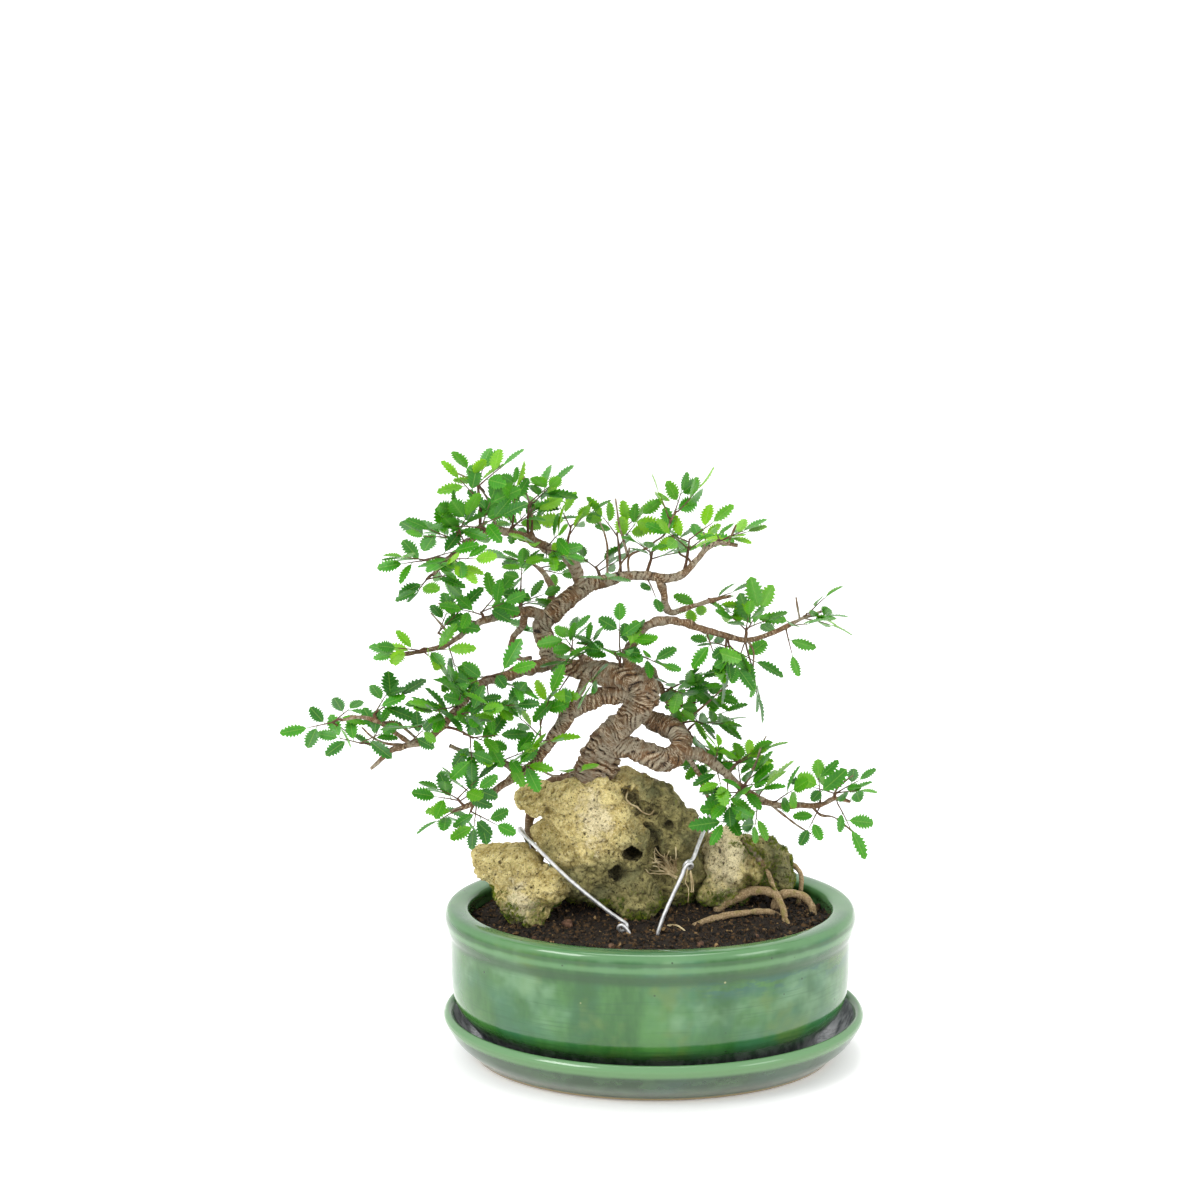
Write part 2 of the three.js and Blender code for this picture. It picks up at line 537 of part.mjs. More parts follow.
// A shoot that would cross a neighbour is swung round and turned, and left out if all turns fail.
// The guard is the same spray with the clearance added all round.
function makeSpray(row, number, clear) {
  const { start, fork, plans } = planSpray(row, number);
  const stem = [[...start.toArray(), STEM_RADIUS], [...fork.toArray(), STEM_RADIUS * 0.8]];
  const parts = [tube(stem, 3, 1)];
  const guards = [tube(stem, 3, 1, { swell: 2 * GAP })];
  const own = [];
  for (const plan of plans) {
    for (let attempt = 0; attempt < SHOOT_TURNS; attempt += 1) {
      const along = plan.along.clone().applyAxisAngle(UPWARD, attempt * SHOOT_SWING);
      const up = plan.up.clone().applyAxisAngle(along, attempt * 0.5);
      const turned = { ...plan, along, up };
      const guard = makeShoot({ ...turned, root: plan.root.clone().addScaledVector(along, 3) }, GAP);
      if (clear(guard) && own.every((other) => other.intersect(guard).isEmpty())) {
        parts.push(makeShoot(turned, 0));
        guards.push(makeShoot(turned, GAP));
        own.push(guard);
        break;
      }
    }
  }
  return { solid: join(parts), guard: join(guards) };
}

const treeSolid = makeTree(0);
const treeGuard = makeTree(GAP + 0.1);

const wireSolids = {};
const wireGuards = [];
for (const [name, points] of Object.entries(WIRES)) {
  wireSolids[name] = makeWire(points, 0).subtract(treeGuard);
  wireGuards.push(makeWire(points, GAP));
}
const bedGuard = join([treeGuard, ...wireGuards]);

const stoneSolids = {};
let stonesGuard = null;
for (const [name, stone] of Object.entries(STONES)) {
  const cut = stonesGuard ? bedGuard.add(stonesGuard) : bedGuard;
  stoneSolids[name] = largest(makeStone(stone).subtract(cut));
  const guard = stoneGuard(stone);
  stonesGuard = stonesGuard ? stonesGuard.add(guard) : guard;
}

const soilSolid = largest(makeSoilBlock().subtract(bedGuard).subtract(stonesGuard));

// Sprays grow one after another, each kept clear of all that is already there.
const obstacles = [treeSolid, ...Object.values(wireSolids), ...Object.values(stoneSolids)];
const boxes = obstacles.map((solid) => bulk(solid).box);
const sprayGuards = [];
const sprayNodes = SPRAYS.map((row, number) => {
  const near = (box) => obstacles.filter((solid, i) => boxes[i].intersectsBox(box));
  const clear = (guard) => {
    const closeBy = near(bulk(guard).box);
    return closeBy.every((solid) => solid.intersect(guard).isEmpty());
  };
  const { solid, guard } = makeSpray(row, number, clear);
  const { box } = bulk(solid);
  const cuts = sprayGuards.filter((other) => other.box.intersectsBox(box)).map((other) => other.guard);
  const spray = largest(solid.subtract(join([treeGuard, ...cuts])));
  obstacles.push(spray);
  boxes.push(bulk(spray).box);
  sprayGuards.push({ guard, box: bulk(guard).box });
  return toMesh(`spray_${row[0]}`, spray, row[5] ? 'youngLeaf' : 'leaf');
});

const group = new THREE.Group();

const saucer = toMesh('saucer', makeSaucer(), 'saucerGlaze');
saucer.position.x = SAUCER_SHIFT;
group.add(saucer);

const pot = toMesh('pot', makePot(), 'glaze');
pot.position.z = POT_BASE;
group.add(pot);

group.add(toMesh('soil', soilSolid, 'soil'));
for (const [name, solid] of Object.entries(stoneSolids)) {
  group.add(toMesh(name, solid, STONES[name].finish));
}
group.add(toMesh('tree', treeSolid, 'bark'));
for (const [name, solid] of Object.entries(wireSolids)) {
  group.add(toMesh(name, solid, 'wire'));
}
group.add(...sprayNodes);

export default group;
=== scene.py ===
"""Looks of a small-leaved tree trained over a porous rock, in a glazed oval pot on its saucer."""

import math

import bmesh
import bpy
import numpy as np
from mathutils import Matrix, Quaternion, Vector, noise
from mathutils.bvhtree import BVHTree


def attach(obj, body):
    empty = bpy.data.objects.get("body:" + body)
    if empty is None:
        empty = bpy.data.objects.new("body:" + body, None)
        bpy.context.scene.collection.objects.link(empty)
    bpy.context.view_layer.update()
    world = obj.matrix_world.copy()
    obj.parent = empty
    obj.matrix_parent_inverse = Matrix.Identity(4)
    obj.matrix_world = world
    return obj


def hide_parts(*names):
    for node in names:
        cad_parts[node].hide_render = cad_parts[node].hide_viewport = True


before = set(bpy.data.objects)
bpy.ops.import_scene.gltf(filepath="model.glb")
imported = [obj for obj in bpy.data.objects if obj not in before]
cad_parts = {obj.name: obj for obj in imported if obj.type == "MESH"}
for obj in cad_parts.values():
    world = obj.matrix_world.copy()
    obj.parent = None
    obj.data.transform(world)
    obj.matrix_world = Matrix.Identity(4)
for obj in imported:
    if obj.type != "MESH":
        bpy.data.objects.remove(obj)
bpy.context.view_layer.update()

# Shapes are written in millimetres and made in metres.
MM = 0.001

# The camera: its place, how far it looks down, and its lens on a 36 mm sensor.
CAMERA_PLACE = (-25.6, -1000, 443.75)
CAMERA_PITCH = 0.20305
CAMERA_LENS = 61.88

# The studio in metres: light from all round, a floor with a weak glow that keeps its shadow thin, and lamps
# by name, place, size and power.
WORLD_LIGHT = 1.22
FLOOR_GLOW = 0.16
FLOOR_HALF = 40.0
LAMPS = [
    ("key", (-0.75, -0.8, 1.0), 0.5, 7.0),
    ("fill", (0.9, -0.8, 0.7), 0.4, 2.0),
    ("top", (0.0, 0.1, 1.3), 0.6, 5.0),
]
LAMP_TARGET = (-0.02, 0.0, 0.15)

# That light is brighter than 1, so colours given as they look are dimmed by this share.
LIGHT_SHARE = 0.88

# Ovals of the pot and saucer: the short half-axis is the long one less this drop. Inside the narrowest one
# they keep its proportions instead.
OVAL_DROP = 30
OVAL_NARROWEST = 71.4
SMOOTH_SEGMENTS = 160
SAUCER_SHIFT = 1.9
POT_BASE = 5.3

# Profiles from the axis below round the rim to the axis above: (half length, height).
SAUCER_PROFILE = [
    (0, 0), (91.9, 0), (92.7, 2.4), (101.5, 10), (106, 17), (108.6, 22.4), (105.8, 25.6),
    (102.8, 23), (100.4, 15), (95.5, 8), (88, 5), (0, 5),
]
POT_PROFILE = [
    (0, 3.3), (78, 3.3), (78, 0), (85.6, 0), (88.5, 8), (94, 15.6), (99.6, 23), (102, 33),
    (102, 59), (103.6, 63.4), (105, 70), (103.2, 74.6), (99, 75.3), (91.4, 74), (94, 60),
    (94, 26), (86, 9.2), (0, 9.2),
]

# Drainage holes, and the notches cut right across the foot.
DRAIN_RADIUS = 7
DRAIN_SPACING = 90
FOOT_NOTCH = 26
FOOT_NOTCH_HEIGHT = 6.6
PAST_THE_POT = 330

# Soil: its level and how much it rises to the middle, the rings of its bed, and its strewn crumbs and moss as
# number per square metre, smallest and largest. Clods are (x, y, half-size).
SOIL_LEVEL = 70.6
SOIL_CROWN = 1.8
SOIL_EDGE = 92.2
SOIL_SEGMENTS = 260
SOIL_RINGS = 74
CRUMBS = [(110000, 0.6, 1.5), (22000, 1.5, 3.0), (90000, 0.4, 0.8)]
MOSS = (620000, 0.6, 1.7)
CLODS = [(-41.8, -10.5, 2.9), (24, -38, 1.9), (-20, -40, 1.7), (52, -28, 1.8), (-58, -27, 1.6)]

# Trunk, limbs, twigs and roots: each point is (x, y, z, radius).
TRUNK = [
    (-32, 8, 138, 11), (-27.5, 7, 149, 10.2), (-24, 6, 160, 8.8), (-18.5, 4, 169, 7),
    (-13, 2, 175, 6.2), (-8.5, 0, 181, 6.8), (-5, -1, 187, 8.2), (-4, -2, 192.5, 7.6),
    (-8, -3, 198, 6.8), (-15, -3, 200, 6.2), (-23, -1, 200.5, 6), (-34, 2, 202, 4.9),
    (-42, 3, 203, 4.2), (-48, 4, 205.5, 5), (-51, 4, 211.5, 5), (-53, 5, 217.5, 4.8),
    (-54.5, 5, 223, 4.5), (-52, 6, 228, 4.6),
]
LIMBS = {
    "top": [
        (-51, 6, 228, 4.8), (-43, 8, 235, 4.6), (-34, 10, 242, 4.2), (-25, 10, 245, 3.2),
        (-15, 8, 248, 2.6), (-3, 6, 249, 2.3), (8, 4, 248, 2.2), (16, 2, 251, 1.7),
        (22, 0, 258, 1.4), (27, -2, 264, 1.2), (32, -3, 267, 1.1), (42, -4, 266, 0.9),
    ],
    "apex": [
        (-35, 9, 244, 3.2), (-38, 8, 252, 3), (-43, 6, 259, 2.8), (-52, 4, 263, 2.6),
        (-61, 0, 269, 2.3), (-69, -3, 272, 2), (-76, -7, 274, 1.9), (-84, -11, 273, 1.6),
        (-92, -16, 267, 1.3), (-100, -20, 262, 1.1), (-106, -22, 255, 0.9),
    ],
    "left": [
        (-53, 5, 227, 3.2), (-59, 3, 231, 2.9), (-65, 0, 232, 2.5), (-73, -3, 231, 2.2),
        (-83, -8, 229, 1.9), (-92, -12, 224, 1.5), (-100, -16, 219, 1.2), (-109, -19, 217, 1),
        (-122, -22, 215, 0.8),
    ],
    "loop": [
        (-63, 1, 232, 2), (-64, 5, 224, 1.8), (-69, 8, 217, 1.6), (-70, 9, 210, 1.5),
        (-65, 8, 206, 1.3), (-60, 6, 207, 1.1),
    ],
    "middle_left": [
        (-47, 4, 206, 4), (-54, -1, 205, 3.5), (-63, -6, 204, 3.1), (-72, -12, 202, 2.6),
        (-81, -18, 201, 2.3), (-88, -24, 197, 2.1), (-95, -29, 190, 2), (-102, -32, 182, 1.9),
        (-109, -34, 176, 1.8), (-119, -34, 173, 1.7), (-127, -34, 170, 1.4), (-137, -34, 161, 0.9),
    ],
    "far_left": [
        (-118, -34, 174, 1.3), (-125, -36, 180, 1.2), (-133, -38, 186, 1.1), (-142, -38, 188, 0.9),
        (-150, -36, 186, 0.8),
    ],
    "low_left": [
        (-7, -1, 191, 4.8), (-16, -1, 190, 4.6), (-24, -1, 189, 4.5), (-32, -4, 186, 4.2),
        (-40, -7, 183, 4), (-44, -10, 177, 3.6), (-49, -13, 171, 3.1), (-54, -16, 164, 2.6),
        (-59, -18, 158, 2.7), (-66, -20, 154, 2.6), (-73, -23, 150, 1.8), (-82, -26, 144, 1.5),
        (-92, -28, 140, 1.2), (-99, -30, 138, 0.9),
    ],
    "low_left_fork": [
        (-66, -20, 155, 1.9), (-73, -20, 160, 1.6), (-81, -22, 164, 1.4), (-89, -25, 166, 1.1),
        (-99, -28, 171, 0.9),
    ],
    "low_left_strut": [
        (-31.5, -1, 201.5, 2.4), (-34, -4, 196, 2.2), (-36.5, -6, 191, 2), (-40, -7, 185, 2),
    ],
    "middle_right": [
        (-10, -4, 202, 3.4), (-12, -6, 210, 2.9), (-10, -6, 216, 2.6), (-6, -5, 223, 2.4),
        (0, -4, 227, 2.3), (8, -2, 228, 2.2), (18, 0, 226, 1.9), (27, 2, 222, 1.7),
        (37, 4, 219, 1.5), (47, 6, 216, 1.3), (56, 6, 218, 1.2), (67, 6, 223, 1.1),
        (77, 6, 228, 0.9), (85, 6, 231, 0.8),
    ],
    "curl": [
        (-20, 4, 162, 5.6), (-10, 0, 162, 5.6), (-1, -3, 159, 5.8), (7, -4, 157, 5.7),
        (12.5, -3, 159.5, 5.2), (15.5, 1, 164, 5), (13, 6, 168.5, 5), (8, 9, 171, 5.4),
        (1, 10, 173.5, 4.8), (-4, 7, 178, 4), (-7, 2, 184, 3.4),
    ],
    "low_right": [
        (13.5, -2, 160.5, 3.8), (19, -2.5, 160.5, 3.5), (25, -3, 159, 3.1), (32, -5, 155, 2.6),
        (38, -7, 150, 2.2), (45, -9, 144, 2), (53, -11, 139, 1.9), (61, -11, 136, 1.8),
        (73, -10, 135, 1.6), (85, -9, 135, 1.3), (92, -8, 138, 1.1), (100, -7, 136, 0.8),
    ],
    "droop": [(18, -3, 159, 1.6), (23, -3, 151, 1.3), (26, -4, 144, 1.1), (29, -5, 137, 0.8)],
    "back_right": [
        (-7, 0, 199, 3), (0, 10, 200, 1.9), (3, 15, 193, 1.7), (7, 19, 185, 1.6),
        (12, 23, 175, 1.6), (19, 27, 163, 1.4), (27, 31, 153, 1.1), (38, 34, 148, 0.9),
    ],
    "spur": [
        (3, 5, 248, 2), (6, 6, 241, 1.8), (7, 7, 233, 1.9), (10, 8, 230, 1.7),
        (19, 10, 232, 1.3), (30, 12, 235, 1.1), (40, 14, 237, 0.9),
    ],
    "back_high": [
        (-54, 6, 220, 3.4), (-52, 16, 226, 2.4), (-50, 26, 236, 1.9), (-54, 36, 244, 1.4),
        (-60, 44, 248, 0.9),
    ],
    "back_low": [
        (-6, 0, 190, 3.2), (-13, 14, 194, 2.4), (-22, 26, 196, 1.9), (-34, 36, 200, 1.5),
        (-46, 44, 206, 0.9),
    ],
}
ROOTS = {
    "front": [
        (-23, 12, 143, 5), (0, 28, 135, 3.8), (18, 42, 112, 3.2), (30, 46, 86, 3),
        (38, 40, 64, 2.8), (38, 22, 60, 2.8), (36, 11, 74, 2.6), (44, 12, 78, 2.6),
        (52, 14, 81, 2.5), (60, 13, 82, 2.3), (65, 7, 81, 2), (68, 1, 76, 1.8), (70, -3, 66, 1.5),
    ],
    "pale": [
        (38, 32, 62, 2), (28, 6, 59, 1.8), (19, -8, 62, 1.7), (19, -12, 68, 1.7), (25, -9, 72.4, 1.6),
        (34, -4, 73.6, 1.6), (47, 0, 74.4, 1.6), (62, 4, 73.6, 1.5), (71, 9, 66, 1.3),
    ],
    "right": [
        (34, 43, 75, 2.2), (52, 38, 61, 2.4), (64, 20, 66, 2.3), (67, 13, 79, 2.2), (73, 12, 81, 2.1),
        (78, 11, 80, 2), (83, 9, 76, 1.8), (86, 7, 65, 1.5),
    ],
    "edge": [
        (18, 42, 112, 2.2), (38, 46, 97, 1.8), (60, 42, 90, 1.6), (74, 33, 90, 1.3),
        (79, 25, 87, 1.2), (79, 22, 80, 1.2), (77, 24, 66, 1.2),
    ],
    "back": [
        (-29, 13, 143, 4.6), (-24, 36, 128, 3.2), (-20, 45, 104, 2.8), (-17, 48, 82, 2.4),
        (-16, 48, 64, 2),
    ],
    "left": [
        (-35, 10, 141, 4.6), (-52, 24, 136, 3), (-62, 32, 118, 2.6), (-61, 35, 92, 2.3),
        (-57, 36, 64, 2),
    ],
}

# Fine twigs, from their seat on a limb to their tip: [x, y, z].
TWIG_ROUTES = [
    [(-22, 8, 247), (-22, 8, 259), (-22, 7, 264), (-24, 6, 272), (-26, 6, 276)],
    [(-17, 8, 247), (-15, 7, 255), (-12, 7, 259), (-11, 7, 263)],
    [(-12, 7, 259), (-14, 6, 267), (-16, 5, 274), (-17, 4, 281), (-18, 4, 288)],
    [(-11, 7, 248), (-11, 5, 259), (-3, 4, 263), (2, 3, 267), (6, 3, 270), (9, 3, 276), (11, 3, 281)],
    [(20, 1, 255), (18, 4, 258), (14, 6, 260), (13, 8, 263)],
    [(24, -1, 260), (25, -3, 264), (26, -5, 268), (25, -6, 273)],
    [(37, -3, 266), (39, -3, 271), (41, -3, 276)],
    [(-76, -7, 274), (-78, -6, 282), (-80, -4, 288), (-84, -3, 294), (-88, -3, 298), (-96, -3, 302)],
    [(-60, 1, 268), (-59, 3, 277), (-60, 4, 284), (-61, 5, 288), (-63, 6, 294), (-63, 6, 299)],
    [(-97, -15, 221), (-103, -17, 229), (-108, -17, 235)],
    [(-84, -8, 228), (-94, -8, 230), (-100, -8, 234), (-105, -8, 238)],
    [(-119, -34, 173), (-130, -34, 174), (-136, -34, 177), (-141, -34, 182)],
    [(-114, -34, 176), (-125, -33, 184), (-132, -32, 184), (-139, -31, 186), (-147, -31, 187)],
    [(-36, -7, 190), (-44, -9, 189), (-46, -10, 181), (-47, -11, 176)],
    [(-55, -15, 163), (-55, -16, 172), (-55, -15, 182)],
    [(-57, -18, 158), (-50, -21, 154), (-44, -22, 154)],
    [(48, 6, 216), (51, 5, 211), (51, 4, 202)],
    [(74, 6, 227), (73, 6, 232), (72, 6, 238)],
    [(91, -8, 138), (93, -8, 143), (97, -8, 147), (101, -8, 150)],
    [(80, -10, 135), (85, -10, 130), (91, -10, 129), (97, -11, 125), (102, -12, 121)],
    [(59, -11, 136), (67, -12, 130), (72, -12, 126), (80, -13, 121)],
    [(46, -9, 144), (52, -10, 157), (55, -10, 167), (57, -10, 171)],
    [(24, -3, 150), (31, -5, 142), (36, -6, 137)],
    [(20, 8, 176), (30, 10, 184), (34, 10, 188), (39, 10, 192)],
]
TWIG_RADIUS = 0.62

# Bark of each kind of limb: faces round it, step along it, then how deep its folds and its strings are, how
# far they slant, how wide a fold is, and how lumpy the limb is.
BARKS = {
    "trunk": (80, 0.45, (0.28, 0.1, 5.5, 3.6, 0.2)),
    "curl": (56, 0.47, (0.24, 0.12, 3.2, 2.7, 0.16)),
    "stout limb": (40, 0.5, (0.22, 0.12, 2.4, 2.5, 0.24)),
    "limb": (20, 0.65, (0.16, 0.08, 0.9, 2.2, 0.4)),
    "root": (20, 1.0, (0.05, 0.03, 0.8, 2.3, 0.36)),
    "twig": (7, 1.1, (0.2, 0.0, 0.3, 1.8, 0.5)),
    "stem": (6, 1.5, (0.15, 0.0, 0.2, 1.8, 0.4)),
    "strand": (12, 0.8, (0.05, 0.03, 0.5, 2.6, 0.8)),
}
BARK_THREAD = 1.15
STOUT_RADIUS = 4

WIRE_RADIUS = 1.05
WIRES = {
    "wire_left": [
        (-60, 34, 62), (-62, 30, 96), (-66, 16, 114), (-66.5, 3, 117.4), (-62, -4, 115.6), (-54, -9, 109),
        (-44, -13, 100), (-34, -16, 92), (-22, -18, 82.6), (-15.4, -19.4, 78.2), (-12.4, -20.4, 76.2),
        (-12.6, -21.2, 73.8), (-15, -21.8, 73.2), (-16.4, -22.4, 75), (-15, -23, 76.8), (-12.6, -23.4, 75),
        (-11, -23.8, 72.4), (-10, -24.5, 66),
    ],
    "wire_right": [
        (26, 46, 62), (29, 40, 96), (31.5, 22, 119), (30.5, 8, 124), (27.5, 0, 120), (23.6, -7, 112.6),
        (20.6, -11.6, 107), (18, -13.4, 106.4), (16.8, -12.8, 104), (18.6, -11.8, 102.6), (20.6, -13, 104.2),
        (19.2, -14.6, 106.2), (17, -14.8, 104), (15.4, -15.6, 100), (11, -18, 91), (6.6, -20.8, 81.6),
        (3.6, -23, 73.4), (1.6, -24.5, 65),
    ],
}

# Mossy strand and rootlets on the stones, as (x, z) seen from the front, and one on the soil as (x, y, z).
MOSS_STRAND = [(47, 109), (51, 105.5), (56, 99), (60.5, 92), (64.5, 84), (68, 77), (71, 69)]
PALE_ROOT = [
    (-11.6, 138), (-12.4, 134.6), (-10, 132.6), (-7, 130.6), (-4.8, 128.2), (-2.6, 126.4), (0, 125.6),
    (2, 127.6),
]
TUFT_SEAT = (12, 94)
TUFT_STRANDS = 30
KNOT_STRANDS = [(18, 103), (19.6, 101), (20.4, 102)]
SOIL_ROOT = [(8.7, -13.1, 72.6), (13, -16.2, 74), (18.5, -21.5, 71.8)]

# Stones: lumps and hollows are (x, y, z, half-width, half-depth, half-height).
STONES = {
    "rock_main": {
        "lumps": [
            (-16, 24, 84, 38, 20, 22), (-27, 15, 110, 36, 22, 26), (-30, 9, 126, 29, 17, 20),
            (-58, 8, 132, 12.5, 13, 10), (-14, 10, 134, 19, 17, 14), (5, 13, 127, 15, 15, 14),
            (16, 14, 112, 14, 15, 14), (-12, -2, 117, 12, 11, 9), (-8, 3, 82, 14, 14, 16),
            (-34, 6, 94, 21, 14, 18), (14, 22, 88, 19, 16, 20), (-18, 2, 127, 13, 12, 14),
            (-37, 0, 136, 17, 9, 10.6), (-24, -2, 137, 10, 8, 10.4),
        ],
        "hollows": [
            (-9.5, -2, 108.5, 5.6, 18, 6), (-17, -10, 97, 5, 15, 7), (9, -8, 98, 9, 13, 11),
            (26, -2, 93, 6, 16, 10), (-13, -4, 139, 3.4, 9, 4), (-8.5, -4, 135, 4.4, 10, 4.6),
            (-4, -5, 130, 5, 13, 5.6), (2, -4, 128, 4.8, 12, 4), (7, -4, 124, 4, 10, 3.4),
            (-3.5, -12, 122, 4, 12, 6), (10.5, -1, 121, 3.2, 11, 3.2),
            (-60, -2, 120.5, 7, 12, 5), (-20, -14.5, 127.5, 4.6, 6, 7.5), (-4, -17, 98, 20, 12, 8),
        ],
    },
    "rock_left": {
        "lumps": [
            (-73, 5, 98, 18, 20, 13), (-66, 1, 87, 17, 16, 17), (-61, -5, 78, 10, 11, 11),
            (-80, 6, 102, 11, 15, 8), (-51, -3, 90, 14, 12, 11),
        ],
        "hollows": [(-84, -10, 88, 5, 7, 5), (-66, -19, 94, 4, 6, 5)],
    },
    "rock_right": {
        "lumps": [
            (40, 19, 96, 13, 14, 20), (38, 20, 80, 14, 13, 14), (57, 27, 91, 18, 13, 15.5),
            (66, 25, 85, 11, 11, 14),
        ],
        "hollows": [(50, 10, 86, 5, 8, 8), (62, 12, 84, 4, 6, 5)],
    },
}

# Grids that join the lumps, the hollows and the cut stone, flats on each lump, and how far the rays that find
# painted shade reach.
LUMP_VOXEL = 1.0
HOLLOW_VOXEL = 0.9
STONE_VOXEL = 0.64
FACETS = 9
SHADE_RAY_REACH = 13

# Seed of the stones' warp, which Blender takes from the clock if it is given none.
STONE_SEED = 7

# Leaves and shoots, as on the solids: a rib with a leaf on each side and one at its end.
LEAF_LENGTH = 13
LEAF_WIDTH = 6.9
LEAF_STALK = 1.6
LEAF_THICKNESS = 0.34
LEAF_TEETH = 7
TOOTH_WIDTH = 1.18
NOTCH_WIDTH = 0.76
RIB_LENGTH = 13
FIRST_LEAF = 5
SIDE_LEAF_ANGLE = 0.95
SHOOT_SETBACK = 9
TREE_AXIS = (-25, 6)

# Sprays: name, root on its limb, heart of the leaves, half-extents, shoots, young.
SPRAYS = [
    ("apex_tip", (-84, -11, 273), (-85, -14, 306), (13, 12, 11), 2, 1),
    ("apex_right", (-61, 0, 269), (-60, -2, 296), (14, 13, 11), 1, 0),
    ("apex_front", (-80, -9, 273.6), (-88, -27, 281), (16, 9, 9), 1, 0),
    ("apex_middle", (-69, -3, 272), (-66, 2, 281), (14, 12, 8), 1, 1),
    ("apex_low", (-52, 4, 263), (-54, -14, 266), (12, 10, 9), 1, 1),
    ("apex_back", (-57, 2, 266.4), (-62, 26, 276), (16, 14, 12), 1, 0),
    ("crown_shoot", (-43, 6, 259), (-38, 14, 282), (10, 8, 8), 1, 1),
    ("upper_left_high", (-92, -16, 267), (-105, -14, 278), (15, 11, 8), 2, 0),
    ("upper_left_tip", (-100, -20, 262), (-119, -24, 262), (14, 10, 7), 2, 0),
    ("upper_left_front", (-96, -18, 264.6), (-98, -36, 262), (12, 9, 9), 2, 1),
    ("upper_left_low", (-106, -22, 255), (-115, -18, 248), (11, 10, 9), 1, 0),
    ("upper_left_back", (-88, -13, 270.4), (-96, 10, 264), (14, 12, 10), 1, 0),
    ("second_left", (-83, -8, 229), (-86, -12, 241), (14, 11, 9), 2, 0),
    ("second_middle", (-65, 0, 232), (-64, 14, 240), (13, 12, 9), 1, 0),
    ("left_high", (-100, -16, 219), (-111, -12, 231), (13, 11, 9), 1, 0),
    ("left_tip", (-109, -19, 217), (-121, -26, 217), (17, 10, 8), 2, 1),
    ("mid_left_high", (-72, -12, 202), (-84, -38, 208), (14, 9, 10), 2, 0),
    ("mid_left_near", (-95, -29, 190), (-95, -50, 190), (17, 8, 11), 2, 0),
    ("mid_left_low", (-88, -24, 197), (-73, -38, 188), (14, 9, 11), 1, 0),
    ("mid_left_under", (-102, -32, 182), (-79, -30, 172), (15, 9, 9), 1, 0),
    ("far_left_tip", (-150, -36, 186), (-163, -32, 182), (12, 9, 7), 2, 0),
    ("far_left_under", (-127, -34, 170), (-150, -40, 178), (13, 9, 8), 1, 0),
    ("far_left_high", (-133, -38, 186), (-137, -32, 194), (11, 10, 9), 1, 0),
    ("low_left_tip", (-92, -28, 140), (-100, -34, 152), (12, 9, 8), 2, 0),
    ("low_left_under", (-86, -26.6, 142.6), (-94, -30, 130), (15, 9, 7), 1, 0),
    ("low_left_high", (-73, -20, 160), (-76, -30, 165), (14, 9, 8), 1, 1),
    ("centre_left", (-34, 2, 202), (-38, -17, 219), (11, 8, 12), 1, 0),
    ("centre", (-15, -3, 200), (-20, -15, 222), (12, 9, 12), 2, 0),
    ("centre_right", (-10, -6, 216), (-2, -18, 208), (13, 9, 8), 1, 0),
    ("top_shoot", (-15, 8, 248), (-18, 12, 279), (12, 10, 11), 1, 1),
    ("top_middle", (-3, 6, 249), (3, 16, 268), (14, 12, 11), 2, 0),
    ("top_right", (16, 2, 251), (20, 4, 277), (13, 11, 9), 2, 1),
    ("top_end", (32, -3, 267), (36, -2, 270), (12, 10, 9), 1, 1),
    ("top_back", (-25, 10, 245), (-30, 26, 256), (14, 13, 9), 1, 0),
    ("right_spur", (30, 12, 235), (28, 18, 233), (13, 12, 9), 1, 1),
    ("right_middle", (47, 6, 216), (48, 14, 229), (14, 11, 8), 2, 0),
    ("right_end", (77, 6, 228), (73, 8, 226), (13, 11, 9), 1, 1),
    ("right_under", (37, 4, 219), (42, 4, 204), (13, 10, 12), 1, 0),
    ("back_right_high", (7, 19, 185), (20, 24, 194), (13, 11, 10), 1, 0),
    ("back_right_low", (19, 27, 163), (33, 34, 172), (14, 11, 14), 1, 0),
    ("low_right_high", (38, -7, 150), (50, 8, 159), (14, 12, 10), 2, 1),
    ("low_right_front", (45, -9, 144), (40, -20, 140), (14, 9, 12), 2, 0),
    ("low_right_end", (92, -8, 138), (95, -8, 146), (15, 10, 9), 2, 0),
    ("back_crown", (-54, 36, 244), (-60, 48, 250), (15, 12, 11), 1, 0),
]
EXTRA_SHOOTS = 2
THIN_SPRAYS = {
    "far_left_tip", "far_left_high", "upper_left_low", "second_left", "left_high", "apex_tip", "centre_right",
    "low_left_under", "right_end", "low_right_end",
}

